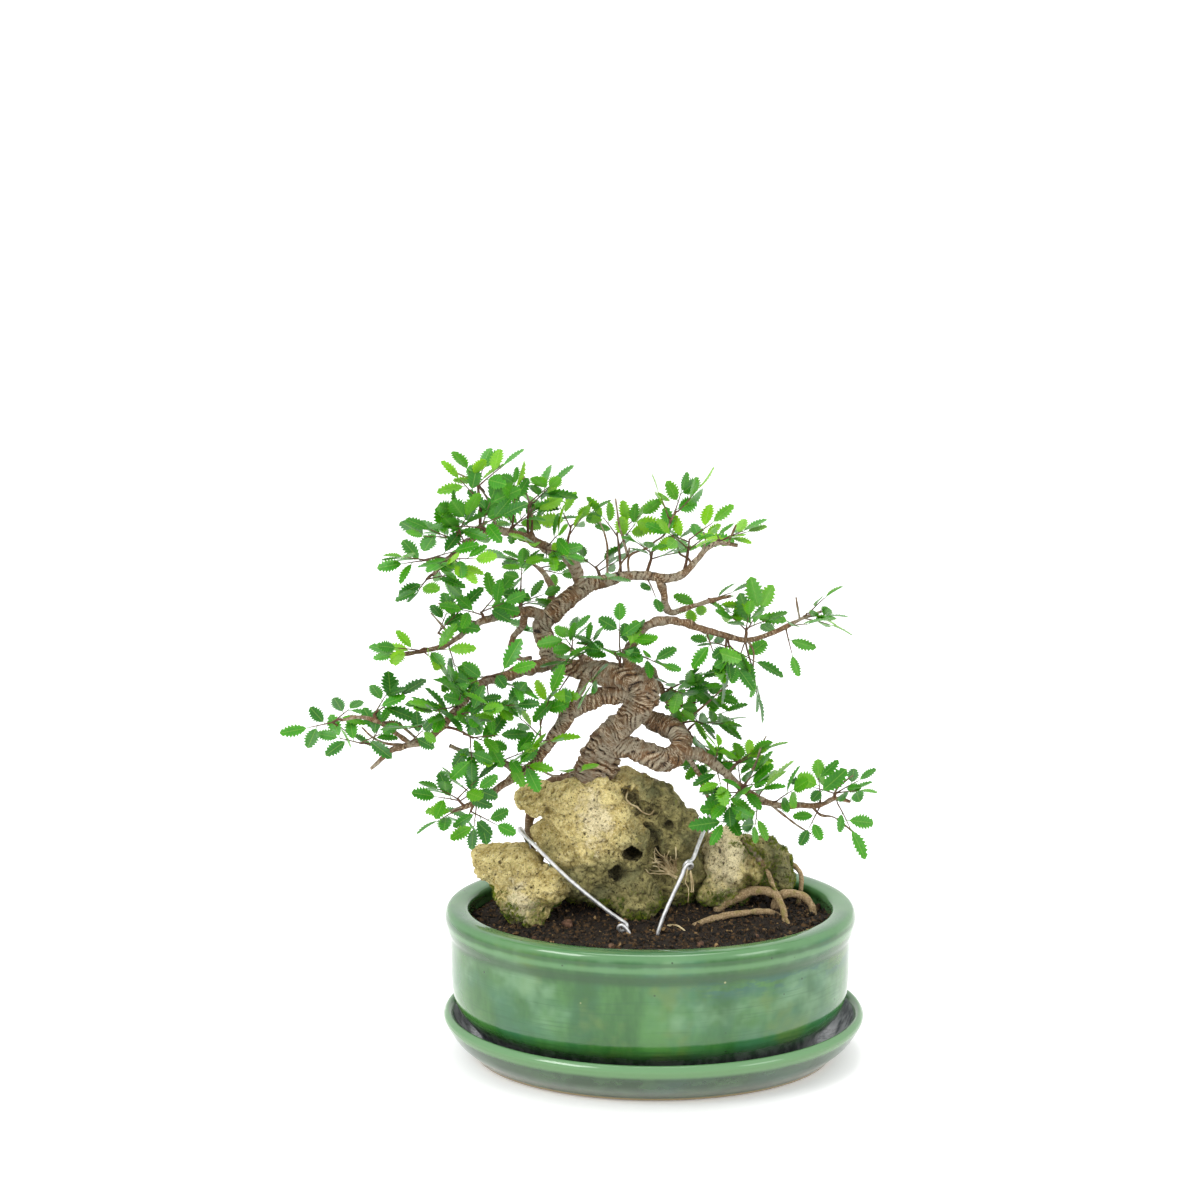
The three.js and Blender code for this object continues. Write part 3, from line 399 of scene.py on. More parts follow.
# Shoots that fill out a spray: seat on its limb, tip and leaves.
FILL_SHOOTS = {
    "centre_left": [
        ((-38, 3, 203), (-48, -17, 193), 4), ((-30, -1, 201), (-30, -22, 202), 4),
        ((-38, 3, 203), (-42, -12, 211), 5),
    ],
    "centre": [((-16, -4, 203), (-16, -13, 229), 3)],
    "second_middle": [((-65, 0, 232), (-64, -10, 258), 5)],
    "mid_left_near": [
        ((-95, -29, 190), (-91, -52, 205), 4), ((-95, -29, 190), (-102, -50, 196), 4),
        ((-102, -32, 182), (-116, -46, 186), 4), ((-95, -29, 190), (-95, -45, 207), 5),
        ((-88, -24, 197), (-82, -38, 196), 4),
    ],
    "low_left_high": [
        ((-55, -15, 178), (-51, -18, 192), 4), ((-55, -16, 170), (-52, -22, 172), 3),
        ((-45, -22, 154), (-42, -25, 156), 2), ((-55, -16, 172), (-60, -20, 179), 4),
        ((-55, -15, 163), (-60, -32, 171), 5),
    ],
    "right_under": [
        ((47, 6, 216), (43, -4, 207), 5), ((37, 4, 219), (38, -6, 210), 4),
        ((37, 4, 219), (37, -2, 203), 4), ((47, 6, 216), (54, 4, 190), 4), ((27, 2, 222), (31, -6, 211), 3),
    ],
    "apex_low": [((-52, 4, 263), (-47, -8, 272), 5), ((-52, 4, 263), (-52, -12, 262), 4)],
    "left_high": [((-100, -16, 219), (-97, -20, 212), 4)],
    "mid_left_under": [((-81, -18, 201), (-80, -24, 193), 4)],
    "low_left_tip": [
        ((-86, -26.6, 142.6), (-87, -32, 134), 4), ((-86, -26.6, 142.6), (-96, -30, 155), 4),
        ((-92, -28, 140), (-100, -34, 138), 3),
    ],
    "low_right_end": [
        ((85, -9, 135), (84, -12, 144), 4), ((85, -9, 135), (80, -14, 127), 3),
        ((92, -8, 138), (98, -12, 128), 3),
    ],
    "low_right_high": [
        ((53, -11, 139), (56, -3, 141), 4), ((25, -3, 159), (27, 10, 156), 4),
        ((32, -5, 155), (33, -12, 165), 4), ((45, -9, 144), (44, 4, 152), 4),
    ],
    "top_right": [
        ((9, 3, 276), (12, 4, 283), 4), ((9, 3, 276), (5, 2, 289), 3), ((11, 3, 280), (19, 2, 288), 3),
    ],
    "right_middle": [((67, 6, 223), (72, 2, 225), 3), ((67, 6, 223), (69, 2, 214), 2)],
    "far_left_high": [((-118, -34, 174), (-113, -40, 180), 4)],
    "back_right_high": [
        ((5, 17, 189), (16, 10, 180), 4), ((7, 19, 185), (24, 12, 190), 5), ((5, 17, 189), (12, 8, 190), 5),
        ((12, 23, 175), (34, 16, 186), 5),
    ],
    "back_crown": [
        ((-46, 44, 206), (-55, 46, 210), 5), ((-40, 40, 203), (-40, 50, 209), 4),
        ((-60, 44, 248), (-68, 40, 251), 4),
    ],
    "back_right_low": [
        ((12, 23, 175), (27, 14, 171), 5), ((16, 25, 168), (38, 12, 172), 5),
        ((19, 27, 163), (29, 16, 158), 5), ((23, 29, 158), (26, 14, 149), 4),
    ],
    "right_end": [((77, 6, 228), (85, 4, 238), 2)],
    "low_right_front": [
        ((32, -5, 155), (34, -18, 150), 4), ((38, -7, 150), (38, -22, 139), 5),
        ((45, -9, 144), (50, -24, 151), 5), ((45, -9, 144), (36, -22, 131), 4),
        ((53, -11, 139), (52, -24, 131), 4), ((61, -11, 136), (67, -20, 145), 4),
    ],
    "top_back": [((-25, 10, 245), (-22, -6, 251), 3)],
    "top_middle": [((-3, 6, 249), (2, -6, 242), 2)],
    "apex_middle": [((-69, -3, 272), (-66, -12, 297), 5)],
    "upper_left_high": [((-92, -16, 267), (-95, -20, 286), 4)],
    "apex_right": [((-60, 3, 284), (-51, -6, 295), 4)],
    "apex_tip": [((-82, -3, 292), (-87, -8, 301), 3)],
}


# Node trees written as expressions.


class Wire:
    """A socket of a node tree. An expression on wires adds its Math nodes."""

    def __init__(self, tree, socket):
        self.tree = tree
        self.socket = socket

    def math(self, operation, *values):
        return self.tree.add("ShaderNodeMath", {"operation": operation}, dict(enumerate(values)))

    def __add__(self, other):
        return self.math("ADD", self, other)

    __radd__ = __add__

    def __sub__(self, other):
        return self.math("SUBTRACT", self, other)

    def __rsub__(self, other):
        return self.math("SUBTRACT", other, self)

    def __mul__(self, other):
        return self.math("MULTIPLY", self, other)

    __rmul__ = __mul__

    def __truediv__(self, other):
        return self.math("DIVIDE", self, other)

    def __pow__(self, other):
        return self.math("POWER", self, other)

    def size(self):
        return self.math("ABSOLUTE", self)

    def fold(self):
        """Distance from the middle of each whole step, from 0 to 0.5."""
        return (self.math("FRACT", self) - 0.5).size()

    def ramp(self, low, high, end=1.0, start=0.0):
        """A smooth rise from start to end as the value goes from low to high."""
        values = {"Value": self, "From Min": low, "From Max": high, "To Min": start, "To Max": end}
        return self.tree.add("ShaderNodeMapRange", {"interpolation_type": "SMOOTHSTEP"}, values)

    def band(self, middle, reach, core, end):
        """A band round a middle value: end within core of it, and nothing past its reach."""
        return (self - middle).size().ramp(reach, core, end)


class Tree:
    """A shader or geometry node tree that is written as expressions."""

    def __init__(self, node_tree):
        self.node_tree = node_tree

    def add(self, kind, settings, values, output=0):
        """Adds a node: its settings first, then its sockets by number, name or identifier."""
        node = self.node_tree.nodes.new(kind)
        for key, value in settings.items():
            setattr(node, key, value)
        for key, value in values.items():
            socket = find_socket(node.inputs, key)
            if isinstance(value, Wire):
                self.node_tree.links.new(value.socket, socket)
            else:
                socket.default_value = value
        return Wire(self, find_socket(node.outputs, output))

    def mix(self, factor, first, second):
        """One colour passing into another. Each is a wire, or red, green and blue from 0 to 255."""
        first, second = [colour if isinstance(colour, Wire) else rgb(*colour) for colour in (first, second)]
        values = {"Factor_Float": factor, "A_Color": first, "B_Color": second}
        return self.add("ShaderNodeMix", {"data_type": "RGBA"}, values, "Result_Color")

    def paint(self, colour, *coats):
        """A colour under coats, each given as a mask and the colour that it lays on."""
        for mask, coat in coats:
            colour = self.mix(mask, colour, coat)
        return colour

    def vector(self, operation, *values):
        return self.add("ShaderNodeVectorMath", {"operation": operation}, dict(enumerate(values)))

    def noise(self, place, size, detail=3.0, rough=0.55, shift=None, squeeze=None):
        """Cloudy noise with blotches about size millimetres across, moved or squeezed along the axes."""
        if shift:
            place = self.vector("ADD", place, shift)
        if squeeze:
            place = self.vector("MULTIPLY", place, squeeze)
        values = {"Vector": place, "Scale": 1 / (size * MM), "Detail": detail, "Roughness": rough}
        return self.add("ShaderNodeTexNoise", {}, values)

    def cells(self, place, size):
        """Distance from the middle of cells about size millimetres across."""
        return self.add("ShaderNodeTexVoronoi", {}, {"Vector": place, "Scale": 1 / (size * MM)}, "Distance")

    def stored(self, name):
        """A number that the mesh keeps on its points, in a material."""
        return self.add("ShaderNodeAttribute", {"attribute_name": name}, {}, "Fac")

    def named(self, name, kind="FLOAT"):
        """A value that the mesh keeps on its points, in a geometry tree."""
        return self.add("GeometryNodeInputNamedAttribute", {"data_type": kind}, {"Name": name})


def find_socket(sockets, key):
    if isinstance(key, int):
        return sockets[key]
    return next(socket for socket in sockets if key in (socket.identifier, socket.name))


def rgb(red, green, blue):
    """A colour given as it looks on a screen in this light, 0 to 255, as the shader needs it."""
    linear = [((c / 255 + 0.055) / 1.055) ** 2.4 if c > 10 else c / 255 / 12.92 for c in (red, green, blue)]
    return (*[c * LIGHT_SHARE for c in linear], 1.0)


def material(name, build):
    """A material whose shader sockets are what build gives: numbers are set, wires are linked."""
    made = bpy.data.materials.new(name)
    made.use_nodes = True
    tree = Tree(made.node_tree)
    shader = made.node_tree.nodes["Principled BSDF"]
    for key, value in build(tree).items():
        if isinstance(value, Wire):
            made.node_tree.links.new(value.socket, shader.inputs[key])
        else:
            shader.inputs[key].default_value = value
    return made


def coordinates(tree, kind="Object"):
    return tree.add("ShaderNodeTexCoord", {}, {}, kind)


def split(tree, vector):
    node = tree.add("ShaderNodeSeparateXYZ", {}, {"Vector": vector}).socket.node
    return [Wire(tree, socket) for socket in node.outputs]


def bump(tree, height, depth):
    """A normal from a height of 0 to 1 that stands for depth millimetres."""
    values = {"Height": height, "Distance": depth * MM, "Strength": 1.0}
    return tree.add("ShaderNodeBump", {}, values, "Normal")


# Materials.


def glazed(tree, place, colour):
    """The sockets of a hard glossy glaze over a colour."""
    return {
        "Base Color": colour,
        "Roughness": tree.noise(place, 3.0, 2.0, 0.6).ramp(0.3, 0.7, 0.2, start=0.1),
        "Coat Weight": 0.3,
        "Coat Roughness": 0.04,
        "Normal": bump(tree, tree.noise(place, 9.0, 1.0, 0.4), 0.16),
    }


def pot_glaze(tree):
    """Green glaze: lighter on the rolled lip with painted highlight and painted shade lines, brushed and
    clouded on the wall, and darkened with painted shade where it curves in to the foot.
    """
    place = coordinates(tree)
    x, _, z = split(tree, place)
    across, height = x / MM, z / MM
    streaks = tree.noise(place, 22, 4.0, 0.6, squeeze=(1.0, 1.0, 0.35))
    clouds = tree.noise(place, 46)
    olive = tree.noise(place, 30, 3.0, 0.6, shift=(0.4, 0.1, 0.2))
    pale = tree.noise(place, 26, 3.0, 0.6, shift=(0.2, 0.5, 0.1))
    brushed = tree.noise(place, 4, 3.0, 0.6, squeeze=(0.1, 0.1, 3.0))
    smear = tree.noise(place, 13, 4.0, 0.65, squeeze=(0.7, 0.7, 2.2)).ramp(0.45, 0.6)
    smear = smear * height.ramp(52, 61) * height.ramp(68.5, 65) * across.ramp(6, 34)
    pins = tree.cells(place, 12.0).ramp(0.055, 0.035)
    bare = tree.cells(tree.vector("ADD", place, (0.31, 0.12, 0.07)), 19.0).ramp(0.05, 0.03)
    colour = tree.paint(
        tree.mix(streaks.ramp(0.34, 0.68), (38, 90, 34), (70, 122, 56)),
        (clouds.ramp(0.5, 0.68, 0.75), (54, 108, 78)),
        (olive.ramp(0.52, 0.68, 0.7), (90, 118, 52)),
        (pale.ramp(0.44, 0.72, 0.8) * height.ramp(30, 46), (108, 148, 108)),
        (brushed.ramp(0.5, 0.76, 0.45), (36, 84, 44)),
        (smear * 0.7, (36, 88, 80)),
        # Painted shade: the lower wall darkens as it curves in, and goes almost black on the underside by the
        # foot.
        ((height + streaks * 12).ramp(40, 22, 0.85), (48, 98, 32)),
        ((height + streaks * 4).ramp(29, 20), (8, 28, 2)),
        # Round the lip: a painted shade line at its neck, a painted highlight band above it, and a painted
        # shade line under its crest.
        (height.band(67, 5.0, 0.8, 0.75), (32, 72, 30)),
        (height.band(72.4, 2.2, 0.4, 0.7), (92, 138, 88)),
        (height.band(75.4, 1.6, 0.2, 0.7), (40, 84, 38)),
        (height.ramp(76.4, 78.4, 0.8), (88, 134, 86)),
        (height.ramp(79.6, 80.5, 0.6) * clouds.ramp(0.4, 0.6), (66, 108, 76)),
        (pins * 0.75, (30, 50, 28)),
        (bare * height.ramp(40, 46) * height.ramp(68, 66) * 0.8, (176, 172, 126)),
    )
    return glazed(tree, place, colour)


def saucer_glaze(tree):
    """The same glaze, greyer on the flare, with drips, a painted reflection in the well, and left off the
    foot.
    """
    place = coordinates(tree)
    height = split(tree, place)[2] / MM
    blotches = tree.noise(place, 11, 4.0, 0.6)
    clouds = tree.noise(place, 40, 2.0, 0.5)
    drips = tree.noise(place, 6, 3.0, 0.6, squeeze=(1.0, 1.0, 0.5))
    # Painted reflection of the bright room in the glossy well, streaked along the drips.
    painted_reflection = tree.mix(drips.ramp(0.38, 0.6), (140, 144, 152), (238, 242, 246))
    colour = tree.paint(
        tree.mix(blotches.ramp(0.42, 0.62), (36, 64, 32), (56, 86, 50)),
        (clouds.ramp(0.5, 0.7, 0.5), (64, 92, 82)),
        (drips.ramp(0.62, 0.7, 0.6), (38, 66, 40)),
        (height.ramp(17.4, 20.2), (92, 134, 84)),
        # A painted shade line under the rim, then a painted highlight along the top of the lip.
        (height.band(17.2, 1.3, 0.2, 0.55), (44, 76, 42)),
        (height.ramp(21.6, 23.6, 0.5), (104, 150, 104)),
        (tree.stored("well") * height.ramp(23.4, 21.4), painted_reflection),
        (height.ramp(2.6, 1.8), (150, 132, 96)),
    )
    return glazed(tree, place, colour)


def stone_finish(tan_side, moss_foot, pale_spot):
    """Porous limestone: tan on its lit upper left, olive with painted shade on its right and low sides, with
    lichen and a green damp foot.

    The tan side is where it starts and is full along x, then along z. The pale spot is x, z and reach.
    """

    def build(tree):
        place = coordinates(tree)
        x, _, z = split(tree, place)
        across, height = x / MM, z / MM
        broad = tree.noise(place, 20, 3.0, 0.6)
        patches = tree.noise(place, 6, 4.0, 0.65)
        grain = tree.noise(place, 1.2, 4.0, 0.7)
        crumbly = tree.noise(place, 0.55, 2.0, 0.7)
        lichen = tree.noise(place, 5, 5.0, 0.7, shift=(0.2, 0.3, 0.1))
        specks = tree.cells(place, 1.9)
        drift = (broad - 0.5) * 46 + (patches - 0.5) * 12
        tan = (across + drift).ramp(*tan_side[:2]) * (height + drift).ramp(*tan_side[2:])
        off_x, off_z = across - pale_spot[0], (height - pale_spot[1]) * 0.55
        off_spot = (off_x * off_x + off_z * off_z) ** 0.5 + (patches - 0.5) * 26
        pale = off_spot.ramp(pale_spot[2], pale_spot[2] * 0.3)
        damp = (height + (patches - 0.5) * 60 + (broad - 0.5) * 30).ramp(moss_foot, moss_foot - 15)
        # dry is the tan as lit; shaded is the stone's olive tone darkened with painted shade, laid on the
        # right and low sides.
        dry = tree.paint(
            tree.mix(patches.ramp(0.36, 0.64), (184, 162, 94), (236, 218, 150)),
            (grain.ramp(0.5, 0.72, 0.7), (246, 236, 192)),
        )
        shaded = tree.paint(
            tree.mix(patches.ramp(0.34, 0.66), (98, 92, 52), (176, 166, 108)),
            (broad.ramp(0.46, 0.66, 0.55), (116, 122, 86)),
            (grain.ramp(0.56, 0.76, 0.6), (182, 176, 128)),
        )
        green = tree.mix(grain.ramp(0.4, 0.64), (58, 72, 16), (128, 142, 46))
        colour = tree.paint(
            tree.mix(tan, shaded, dry),
            (pale * grain.ramp(0.3, 0.5, 0.95, start=0.3), (248, 234, 190)),
            (lichen.ramp(0.58, 0.7, 0.6), (138, 138, 60)),
            (grain.ramp(0.47, 0.3, 0.75), (84, 70, 36)),
            (crumbly.ramp(0.48, 0.34, 0.42), (84, 74, 40)),
            (specks.ramp(0.24, 0.1, 0.75), (56, 44, 24)),
            (damp * grain.ramp(0.38, 0.58) * 0.85, green),
            # Dirt and painted shade in creases and pits, by their depth, and less of both on ledges.
            (tree.stored("deep").ramp(0.25, 1.0, 0.85), (44, 36, 20)),
            # Painted shade where nearby stone blocks the point's outlook.
            (tree.stored("painted_shade").ramp(0.42, 0.95, 0.85), (38, 32, 16)),
        )
        relief = grain * 0.8 + specks.ramp(0.05, 0.35) * 0.6 + crumbly * 0.3
        return {"Base Color": colour, "Roughness": 0.95, "Normal": bump(tree, relief, 1.0)}

    return build


def bark_finish(light, dark, grey, worn):
    """Stringy bark: dark cracks with painted shade, pale worn edges with painted highlight, grey smooth
    places, and paler roots low in the pot.
    """

    def build(tree):
        place = coordinates(tree)
        height = split(tree, place)[2] / MM
        round_limb = tree.vector("MULTIPLY", coordinates(tree, "UV"), (4.0, 1.9, 1.0))
        strings = tree.add("ShaderNodeTexNoise", {}, {"Vector": round_limb, "Scale": 1.0, "Detail": 5.0})
        fine = tree.noise(place, 0.9, 4.0, 0.7)
        patches = tree.noise(place, 11, 3.0, 0.6)
        warmth = tree.noise(place, 5, 2.0, 0.5)
        # The relief level is low in cracks and high on ridges. The dark cracks and pale ridges drawn from it
        # are the bark's own colour, with painted shade in the cracks and painted highlight on the ridges.
        level = tree.stored("relief") + (strings - 0.5) * 0.7 + (fine - 0.5) * 0.3
        warm = [part * share for part, share in zip(light, (1.03, 0.95, 0.84))]
        low = (height + (patches - 0.5) * 12).ramp(100, 90)
        root = tree.paint(
            tree.mix(fine.ramp(0.35, 0.7), (138, 112, 76), (210, 184, 142)),
            (warmth.ramp(0.52, 0.66, 0.6), (140, 134, 62)),
            (level.ramp(0.4, 0.2, 0.8), (48, 34, 20)),
        )
        colour = tree.paint(
            tree.mix(level.ramp(0.22, 0.5), dark, tree.mix(warmth.ramp(0.4, 0.62), light, warm)),
            (level.ramp(0.54, 0.76, 0.85), worn),
            (patches.ramp(0.44, 0.6, 0.7) * level.ramp(0.3, 0.56), grey),
            (low * 0.9, root),
        )
        return {"Base Color": colour, "Roughness": 0.9, "Normal": bump(tree, strings * 0.8 + fine * 0.5, 0.5)}

    return build


def leaf_finish(young, full, old):
    """A leaf with a pale midrib, side veins to its teeth and a dull underside; its tint runs to young."""

    def build(tree):
        u, v, _ = split(tree, coordinates(tree, "UV"))
        across = (u - 0.5).size() * 2
        tint = tree.stored("tint")
        mottle = tree.noise(coordinates(tree), 2.4, 3.0, 0.6)
        rib = across.ramp(0.09, 0.02)
        veins = ((v - across * 0.16) * (LEAF_TEETH + 1)).fold().ramp(0.1, 0.02)
        colour = tree.paint(
            tree.mix(tint.ramp(0.0, 0.5), old, full),
            (tint.ramp(0.5, 1.0), young),
            (mottle.ramp(0.4, 0.75, 0.3), old),
            (veins * 0.12, (150, 200, 70)),
            (rib * 0.24, (160, 205, 80)),
            (tree.stored("underside") * 0.45, (106, 166, 66)),
        )
        return {
            "Base Color": colour,
            "Roughness": mottle.ramp(0.3, 0.7, 0.44, start=0.3),
            "Specular IOR Level": 0.36,
            "Subsurface Weight": 0.12,
            "Subsurface Radius": (0.002, 0.004, 0.001),
            "Subsurface Scale": 0.3,
            "Normal": bump(tree, 1 - veins * 0.6 - rib * 0.4, 0.12),
        }

    return build


def soil_finish(tree):
    place = coordinates(tree)
    grain = tree.noise(place, 1.2, 4.0, 0.7)
    patches = tree.noise(place, 9, 3.0, 0.6)
    colour = tree.paint(
        tree.mix(grain.ramp(0.35, 0.75), (18, 11, 6), (58, 42, 26)),
        (patches.ramp(0.5, 0.75, 0.6), (38, 26, 15)),
    )
    return {"Base Color": colour, "Roughness": 0.95, "Normal": bump(tree, grain, 0.5)}


def crumb_finish(dark, light, odd):
    """Broken soil, from dark to light, with an odd crumb of another colour."""

    def build(tree):
        place = coordinates(tree)
        grain = tree.noise(place, 2.2, 3.0, 0.6)
        blotch = tree.noise(place, 5.5, 1.0, 0.5)
        colour = tree.paint(tree.mix(grain.ramp(0.42, 0.74), dark, light), (blotch.ramp(0.66, 0.7), odd))
        return {"Base Color": colour, "Roughness": 0.92, "Normal": bump(tree, grain, 0.3)}

    return build


def moss_finish(tree):
    patches = tree.noise(coordinates(tree), 4, 3.0, 0.6)
    colour = tree.mix(patches.ramp(0.35, 0.66), (62, 92, 10), (142, 152, 38))
    return {"Base Color": colour, "Roughness": 0.9}


def wire_finish(tree):
    scuffs = tree.noise(coordinates(tree), 2.5, 3.0, 0.6)
    colour = tree.mix(scuffs.ramp(0.35, 0.7), (204, 204, 206), (240, 240, 240))
    return {"Base Color": colour, "Metallic": 0.85, "Roughness": scuffs.ramp(0.3, 0.7, 0.5, start=0.32)}


def rootlet_finish(tree):
    patches = tree.noise(coordinates(tree), 5, 2.0, 0.6)
    colour = tree.mix(patches.ramp(0.35, 0.7), (172, 148, 106), (236, 218, 172))
    return {"Base Color": colour, "Roughness": 0.85}


# Mesh building.


def placed(name, data):
    """A new object in the scene."""
    made = bpy.data.objects.new(name, data)
    bpy.context.scene.collection.objects.link(made)
    return made


def mesh_of(made, name, *finishes):
    """The mesh of a finished bmesh, which is freed."""
    mesh = bpy.data.meshes.new(name)
    made.to_mesh(mesh)
    made.free()
    for finish in finishes:
        mesh.materials.append(finish)
    return mesh


def smooth(mesh):
    mesh.polygons.foreach_set("use_smooth", [True] * len(mesh.polygons))


def keep(mesh, name, values, kind="FLOAT"):
    """Stores a value on each point of a mesh."""
    field = "vector" if kind == "FLOAT_VECTOR" else "value"
    mesh.attributes.new(name, kind, "POINT").data.foreach_set(field, values)


def search_tree(mesh, unit):
    """The faces of a mesh, to cast rays at, with lengths in the given unit."""
    return BVHTree.FromPolygons(
        [corner.co / unit for corner in mesh.vertices], [tuple(face.vertices) for face in mesh.polygons],
    )


class Skin:
    """Points, faces, UVs and a mark on each point of a piece as it is put together, in millimetres."""

    def __init__(self):
        self.points = []
        self.faces = []
        self.uvs = []
        self.marks = []

    def add(self, points, faces, uvs=None, marks=None):
        start = len(self.points)
        self.points.extend(points)
        self.marks.extend(marks or [0.5] * len(points))
        self.faces.extend([tuple(start + corner for corner in face) for face in faces])
        self.uvs.extend(uvs or [[(0.0, 0.0)] * len(face) for face in faces])

    def finish(self, name, finish, mark="relief"):
        mesh = bpy.data.meshes.new(name)
        mesh.from_pydata([tuple(c * MM for c in point) for point in self.points], [], self.faces)
        layer = mesh.uv_layers.new(name="UVMap")
        layer.data.foreach_set("uv", np.array([uv for face in self.uvs for uv in face], np.float32).ravel())
        mesh.materials.append(finish)
        smooth(mesh)
        keep(mesh, mark, self.marks)
        return placed(name, mesh)


def applied(piece):
    """The piece with its modifiers made real, as a plain mesh in the same object."""
    bpy.context.view_layer.update()
    evaluated = piece.evaluated_get(bpy.context.evaluated_depsgraph_get())
    mesh = bpy.data.meshes.new_from_object(evaluated)
    piece.modifiers.clear()
    piece.data = mesh
    return piece


def cut_out(piece, tool):
    """Cuts the shape of a tool out of a piece and takes the tool away."""
    cut = piece.modifiers.new("cut", "BOOLEAN")
    cut.operation = "DIFFERENCE"
    cut.solver = "EXACT"
    cut.object = tool
    applied(piece)
    bpy.data.objects.remove(tool)


class Draw:
    """Seeded random numbers from 0 to 1, the same in every run."""

    def __init__(self, seed):
        self.state = seed

    def __call__(self):
        self.state = self.state * 16807 % 2147483647
        return self.state / 2147483647


def wild(draw):
    """A random vector, each part from -0.5 to 0.5."""
    return Vector((draw() - 0.5, draw() - 0.5, draw() - 0.5))


def settle(piece, slot, *nodes):
    """Puts a finished piece on the body and hides the solids that it stands for."""
    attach(piece, "root")
    if nodes:
        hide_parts(*nodes)
    return piece


def soften(profile, rounds):
    """Cuts the corners of an outline, keeping its two ends."""
    points = [Vector(point) for point in profile]
    for _ in range(rounds):
        cut = [points[0]]
        for first, second in zip(points, points[1:]):
            cut += [first.lerp(second, 0.22), first.lerp(second, 0.78)]
        points = cut + [points[-1]]
    return points


def oval(radius, angle):
    narrowed = max(OVAL_NARROWEST, radius)
    return radius * math.cos(angle), radius * math.sin(angle) * (narrowed - OVAL_DROP) / narrowed


def oval_lathe(profile, segments):
    """A closed oval turning of a profile that starts and ends on the axis."""
    rings = profile[1:-1]
    points = [(0, 0, profile[0][1])]
    for radius, z in rings:
        points += [(*oval(radius, math.tau * j / segments), z) for j in range(segments)]
    points.append((0, 0, profile[-1][1]))
    last = len(points) - 1
    faces = [(0, 1 + (j + 1) % segments, 1 + j) for j in range(segments)]
    for i in range(len(rings) - 1):
        row = 1 + i * segments
        for j in range(segments):
            k = (j + 1) % segments
            faces.append((row + j, row + k, row + segments + k, row + segments + j))
    row = 1 + (len(rings) - 1) * segments
    faces += [(last, row + j, row + (j + 1) % segments) for j in range(segments)]
    return points, faces


def route(points, step):
    """Rows of place and radius along a smooth curve through the given points."""
    places = [Vector(point[:3]) for point in points]
    ends = [2 * places[0] - places[1], *places, 2 * places[-1] - places[-2]]
    rows = []
    for i in range(len(places) - 1):
        before, here, there, after = ends[i:i + 4]
        pairs = ((before, here), (here, there), (there, after))
        first, own, last = [max((b - a).length ** 0.5, 1e-3) for a, b in pairs]
        out = own * ((here - before) / first - (there - before) / (first + own) + (there - here) / own)
        back = own * ((there - here) / own - (after - here) / (own + last) + (after - there) / last)
        bend = 3 * (there - here) - 2 * out - back
        close = 2 * (here - there) + out + back
        count = max(2, round((there - here).length / step))
        for k in range(count):
            t = k / count
            radius = points[i][3] * (1 - t) + points[i + 1][3] * t
            rows.append((here + out * t + bend * t * t + close * t ** 3, radius))
    rows.append((places[-1], points[-1][3]))
    return rows


def tube(skin, points, around, step, relief=None):
    """A closed tube along a route. Relief gives a share of the radius, and how raised it looks."""
    rows = route(points, step)
    side = Vector((-0.31, 0.87, -0.38))
    run = 0.0
    made, marks, runs = [], [], []
    for i, (centre, radius) in enumerate(rows):
        ahead = rows[min(i + 1, len(rows) - 1)][0]
        behind = rows[max(i - 1, 0)][0]
        along = (ahead - behind).normalized()
        run += (centre - behind).length
        side = (side - along * side.dot(along)).normalized()
        across = along.cross(side)
        for j in range(around):
            angle = math.tau * j / around
            outward = side * math.cos(angle) + across * math.sin(angle)
            share, mark = relief(angle, run, radius, centre + outward * radius) if relief else (0, 0.5)
            made.append(centre + outward * radius * (1 + share))
            marks.append(mark)
        runs.append(run)
    faces, uvs = [], []
    for i in range(len(rows) - 1):
        for j in range(around):
            k = (j + 1) % around
            faces.append((i * around + j, i * around + k, (i + 1) * around + k, (i + 1) * around + j))
            left, right = j / around, (j + 1) / around
            uvs.append([(left, runs[i]), (right, runs[i]), (right, runs[i + 1]), (left, runs[i + 1])])
    for i, spin in ((0, 1), (len(rows) - 1, -1)):
        made.append(rows[i][0])
        marks.append(0.2)
        middle = len(made) - 1
        for j in range(around):
            pair = (i * around + j, i * around + (j + 1) % around)
            faces.append((middle, *pair[::-spin]))
            uvs.append([(0.5, runs[i])] * 3)
    skin.add([tuple(point) for point in made], faces, uvs, marks)


# Pot, saucer and soil.


def make_saucer(finish):
    skin = Skin()
    profile = soften(SAUCER_PROFILE, 3)
    points, faces = oval_lathe(profile, SMOOTH_SEGMENTS)
    top = max(range(len(profile)), key=lambda i: profile[i][1])
    marks = [1.0 if i > top * SMOOTH_SEGMENTS else 0.0 for i in range(len(points))]
    skin.add([(x + SAUCER_SHIFT, y, z) for x, y, z in points], faces, marks=marks)
    return skin.finish("saucer_glazed", finish, mark="well")


